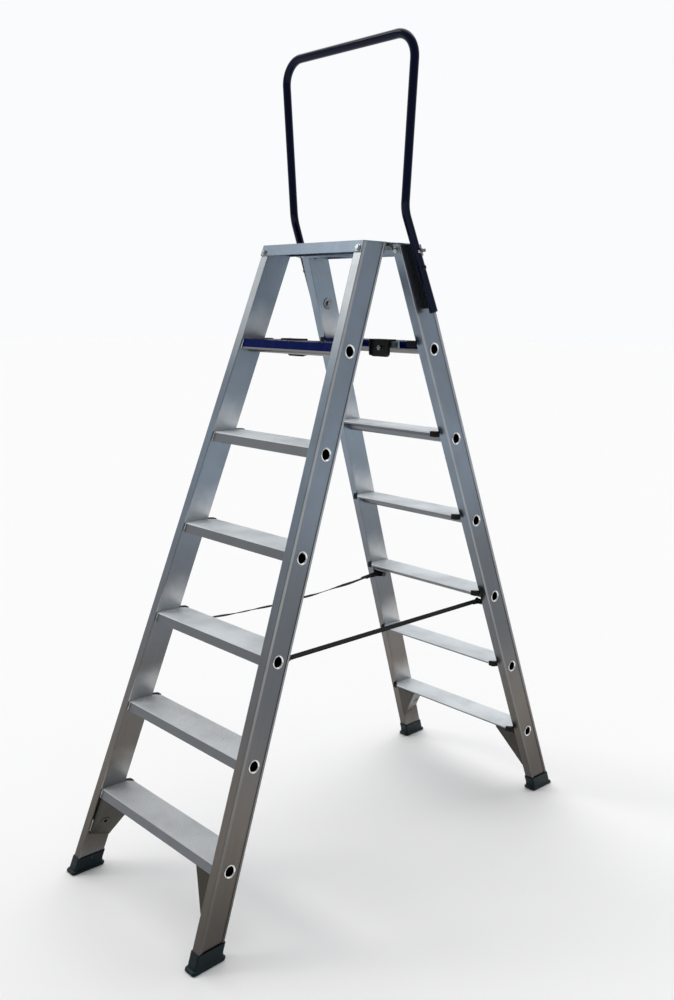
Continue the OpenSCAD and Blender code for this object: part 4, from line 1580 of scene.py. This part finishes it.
@dataclass
class Studio:
    """Floor, world, lamps and the camera that stands where the photograph was taken."""

    image: tuple[int, int] = (674, 1000)
    camera_place: Vector = Vector((1.85577, -1.78798, 1.48098))
    camera_turn: Vector = Vector((74.308, -0.7155, 46.985))
    focal_pixels: float = 963.29
    centre_pixels: Point = (323.25, 578.52)
    sensor: float = 36.0
    sight: float = 100.0
    floor_size: float = 40.0
    floor_down: float = 0.0004
    floor_rough: float = 0.9
    floor_colours: tuple[Colour, Colour] = ((0.925, 0.925, 0.93), (0.935, 0.935, 0.94))
    fleck: Noise = Noise(3.0)
    backdrop: Triple = (-0.68, 0.73, 0.0)
    backdrop_span: Span = (-0.5, 0.8)
    room_level: float = 0.34
    white_level: float = 0.975
    sky_colour: Colour = (0.98, 0.99, 1.0)
    lamps: tuple[SoftLamp, ...] = (
        SoftLamp("top", Vector((-0.35, 0.3, 0.89)), 70.0, 1.35, (1.0, 0.99, 0.98)),
        SoftLamp("key", Vector((-0.6, -0.5, 0.62)), 16.0, 0.35, (1.0, 0.98, 0.94)),
    )

    def camera(self) -> None:
        """Adds the camera and makes it the scene's own."""
        data = bpy.data.cameras.new("camera")
        long_side = max(self.image)
        data.sensor_width = self.sensor
        data.lens = self.focal_pixels / long_side * self.sensor
        data.shift_x = (self.image[0] / 2 - self.centre_pixels[0]) / long_side
        data.shift_y = (self.centre_pixels[1] - self.image[1] / 2) / long_side
        data.dof.use_dof = False
        data.clip_end = self.sight
        camera = bpy.data.objects.new("camera", data)
        camera.location = self.camera_place
        camera.rotation_euler = Euler([math.radians(a) for a in self.camera_turn], "XYZ")
        bpy.context.scene.collection.objects.link(camera)
        bpy.context.scene.camera = camera

    def floor(self) -> None:
        """Adds the pale floor."""
        made = bmesh.new()
        bmesh.ops.create_grid(made, x_segments=1, y_segments=1, size=self.floor_size)
        shader = Shader("floor")
        pale = shader.blended(shader.noise(shader.coords(), self.fleck), *self.floor_colours)
        shader.set(Base_Color=pale, Roughness=self.floor_rough, Specular_IOR_Level=0.0)
        floor = placed("floor", plain_mesh(made), shader.material)
        floor.location.z = -self.floor_down

    def sky(self) -> None:
        """Sets a world that is a white backdrop behind the object and a dimmer room before it."""
        world = bpy.data.worlds.new("studio")
        world.use_nodes = True
        tree = world.node_tree
        tree.nodes.clear()
        output = tree.nodes.new("ShaderNodeOutputWorld")
        light = tree.nodes.new("ShaderNodeBackground")
        light.inputs["Color"].default_value = (*self.sky_colour, 1.0)
        coords = tree.nodes.new("ShaderNodeTexCoord")
        aim = tree.nodes.new("ShaderNodeVectorMath")
        aim.operation = "DOT_PRODUCT"
        aim.inputs[1].default_value = self.backdrop
        level = tree.nodes.new("ShaderNodeMapRange")
        level.interpolation_type = "SMOOTHSTEP"
        levels = (*self.backdrop_span, self.room_level, self.white_level)
        for name, number in zip(("From Min", "From Max", "To Min", "To Max"), levels):
            level.inputs[name].default_value = number
        tree.links.new(coords.outputs["Generated"], aim.inputs[0])
        tree.links.new(aim.outputs["Value"], level.inputs["Value"])
        tree.links.new(level.outputs["Result"], light.inputs["Strength"])
        tree.links.new(light.outputs["Background"], output.inputs["Surface"])
        bpy.context.scene.world = world

    def build(self) -> None:
        """Adds everything round the object."""
        self.camera()
        self.floor()
        self.sky()
        for lamp in self.lamps:
            lamp.build()
        bpy.context.scene.view_settings.view_transform = "Standard"


@dataclass
class Dressing:
    """Gives every CAD node that stays in view its material."""

    nodes: dict[str, Piece]
    braces: dict[Section, Material]
    # Colours of the painted reflection on the stiles and channels: cool above, warm towards the floor
    cool: Colour = (0.215, 0.265, 0.325)
    warm: Colour = (0.162, 0.14, 0.118)
    tread_face: Colour = (0.19, 0.2, 0.215)
    front_soil: Colour = (0.56, 0.58, 0.6)

    def _section(self, section: Section) -> dict[str, Material]:
        """The materials that depend on a section's lean.

        Args:
            section: Which section.

        Returns:
            Materials by the last words of the node names.
        """
        word = section.prefix
        metal = (self.cool, self.warm)
        faces = (self.tread_face, self.tread_face)
        lower_tone = self.front_soil if section is Section.FRONT else TreadFinish.worn
        made: dict[str, Finish] = {}
        for side in Side:
            name = f"stile_{side.word}"
            turn = PLAN.splay * side.value * section.value
            made[name] = StileFinish(
                f"{word}_{name}_metal", section, Grain.ALONG, *metal, rough=0.32, lines=0.06, splay=turn
            )
        made["tread"] = TreadFinish(
            f"{word}_tread_metal", section, Grain.ACROSS, *faces, rough=0.4, lines=0.05, edge=0.0, soiled=lower_tone
        )
        made["top_channel"] = AluminiumFinish(f"{word}_channel_metal", section, Grain.ACROSS, *metal)
        made["tread_6"] = TreadPaintFinish(
            f"{word}_tread_paint",
            colour=(0.001, 0.006, 0.068),
            worn=(0.3, 0.32, 0.36),
            rough=0.2,
            gloss=0.04,
            peel=0.1,
            wear=0.74,
            section=section,
        )
        return {name: finish.make() for name, finish in made.items()} | {"brace": self.braces[section]}

    @staticmethod
    def _plain() -> dict[str, Material]:
        """The materials that are the same on both sections.

        Returns:
            Materials by node names, and under the name fastener that of every other node.
        """
        zinc = SteelFinish("zinc_plate", (0.44, 0.45, 0.44), (0.2, 0.2, 0.185), 0.18)
        dull = SteelFinish("dull_plate", (0.22, 0.245, 0.27), (0.13, 0.135, 0.14), 0.28)
        spring = SteelFinish("spring_steel", (0.2, 0.25, 0.27), (0.1, 0.12, 0.13), 0.16)
        hinge = SteelFinish("hinge_plate", (0.16, 0.165, 0.16), (0.07, 0.07, 0.065), 0.3)
        plastic = MouldedFinish("black_plastic", (0.01, 0.01, 0.011), (0.03, 0.03, 0.03), 0.45)
        black = PaintFinish("black_coat", (0.004, 0.004, 0.0045), (0.2, 0.2, 0.2), rough=0.34, gloss=0.2)
        navy = PaintFinish(
            "bow_paint",
            colour=(0.001, 0.002, 0.014),
            worn=(0.16, 0.18, 0.26),
            rough=0.02,
            gloss=0.16,
            peel=0.03,
            wear=0.74,
            sheen=(0.75, 0.85, 1.0),
        )
        wearers = (
            (zinc, ("fastener",)),
            (dull, ("bow_bolts",)),
            (spring, ("spring_clip",)),
            (hinge, ("hinge_leaf", "hinge_rivets", "hinge_pin")),
            (plastic, ("foot", "tread_plugs", "bow_end_plugs", "strap")),
            # The bow saddles' black coat is partly painted shade: it fills the dark of the bow's shadow and
            # reflection on the stiles
            (black, ("bow_saddle", "bow_screws", "stop_plate")),
            (navy, ("handrail_bow",)),
        )
        made: dict[str, Material] = {}
        for finish, names in wearers:
            made |= dict.fromkeys(names, finish.make())
        return made

    def build(self) -> None:
        """Dresses all the nodes."""
        plain = self._plain()
        by_section = {section: self._section(section) for section in Section}
        for name, node in self.nodes.items():
            section = next((s for s in Section if name.startswith(s.prefix)), None)
            rest = name.removeprefix(f"{section.prefix}_") if section else name
            leaning = by_section[section] if section else {}
            stem = rest.rsplit("_", 1)[0]
            choices = (leaning.get(rest), plain.get(rest), leaning.get(stem), plain.get(stem))
            material = next((choice for choice in choices if choice), plain["fastener"])
            node.data.materials.clear()
            node.data.materials.append(material)
            LOG.info("%s wears %s", name, material.name)


def main() -> None:
    """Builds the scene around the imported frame."""
    logging.basicConfig(level=logging.INFO, format="%(name)s: %(message)s")
    for old in list(bpy.data.objects):
        bpy.data.objects.remove(old)
    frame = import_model()
    Studio().build()
    # Painted shade: the braces and their gussets are coloured as dark as they look in the treads' shadow
    brace_shade = (0.058, 0.054, 0.045)
    braces = {
        section: AluminiumFinish(f"{section.prefix}_brace_metal", section, Grain.ALONG, brace_shade, brace_shade).make()
        for section in Section
    }
    Dressing(frame["nodes"], braces).build()
    webbing = WebbingFinish("strap_webbing", (0.006, 0.006, 0.007), (0.03, 0.03, 0.033))
    thread = MouldedFinish("strap_thread", (0.02, 0.02, 0.022), (0.05, 0.05, 0.052), 0.55)
    rubber = MouldedFinish(
        "foot_rubber",
        colour=(0.001, 0.0045, 0.006),
        dust=(0.004, 0.0095, 0.0115),
        rough=0.3,
        gloss=0.26,
        sheen=(0.7, 0.93, 1.0),
    )
    plastic = MouldedFinish("plug_plastic", (0.003, 0.0035, 0.004), (0.009, 0.009, 0.009), 0.45, gloss=0.16)
    weld = SteelFinish("weld_metal", (0.75, 0.76, 0.77), (0.4, 0.4, 0.39), 0.24)
    parts = (
        Gussets(braces),
        Straps(webbing.make(), thread.make()),
        Feet(rubber.make()),
        Plugs(plastic.make()),
        Welds(weld.make()),
    )
    for part in parts:
        for piece in part.build():
            LOG.info("%s has %d faces", piece.name, len(piece.data.polygons))
    bpy.context.view_layer.update()


if __name__ == "__main__":
    main()
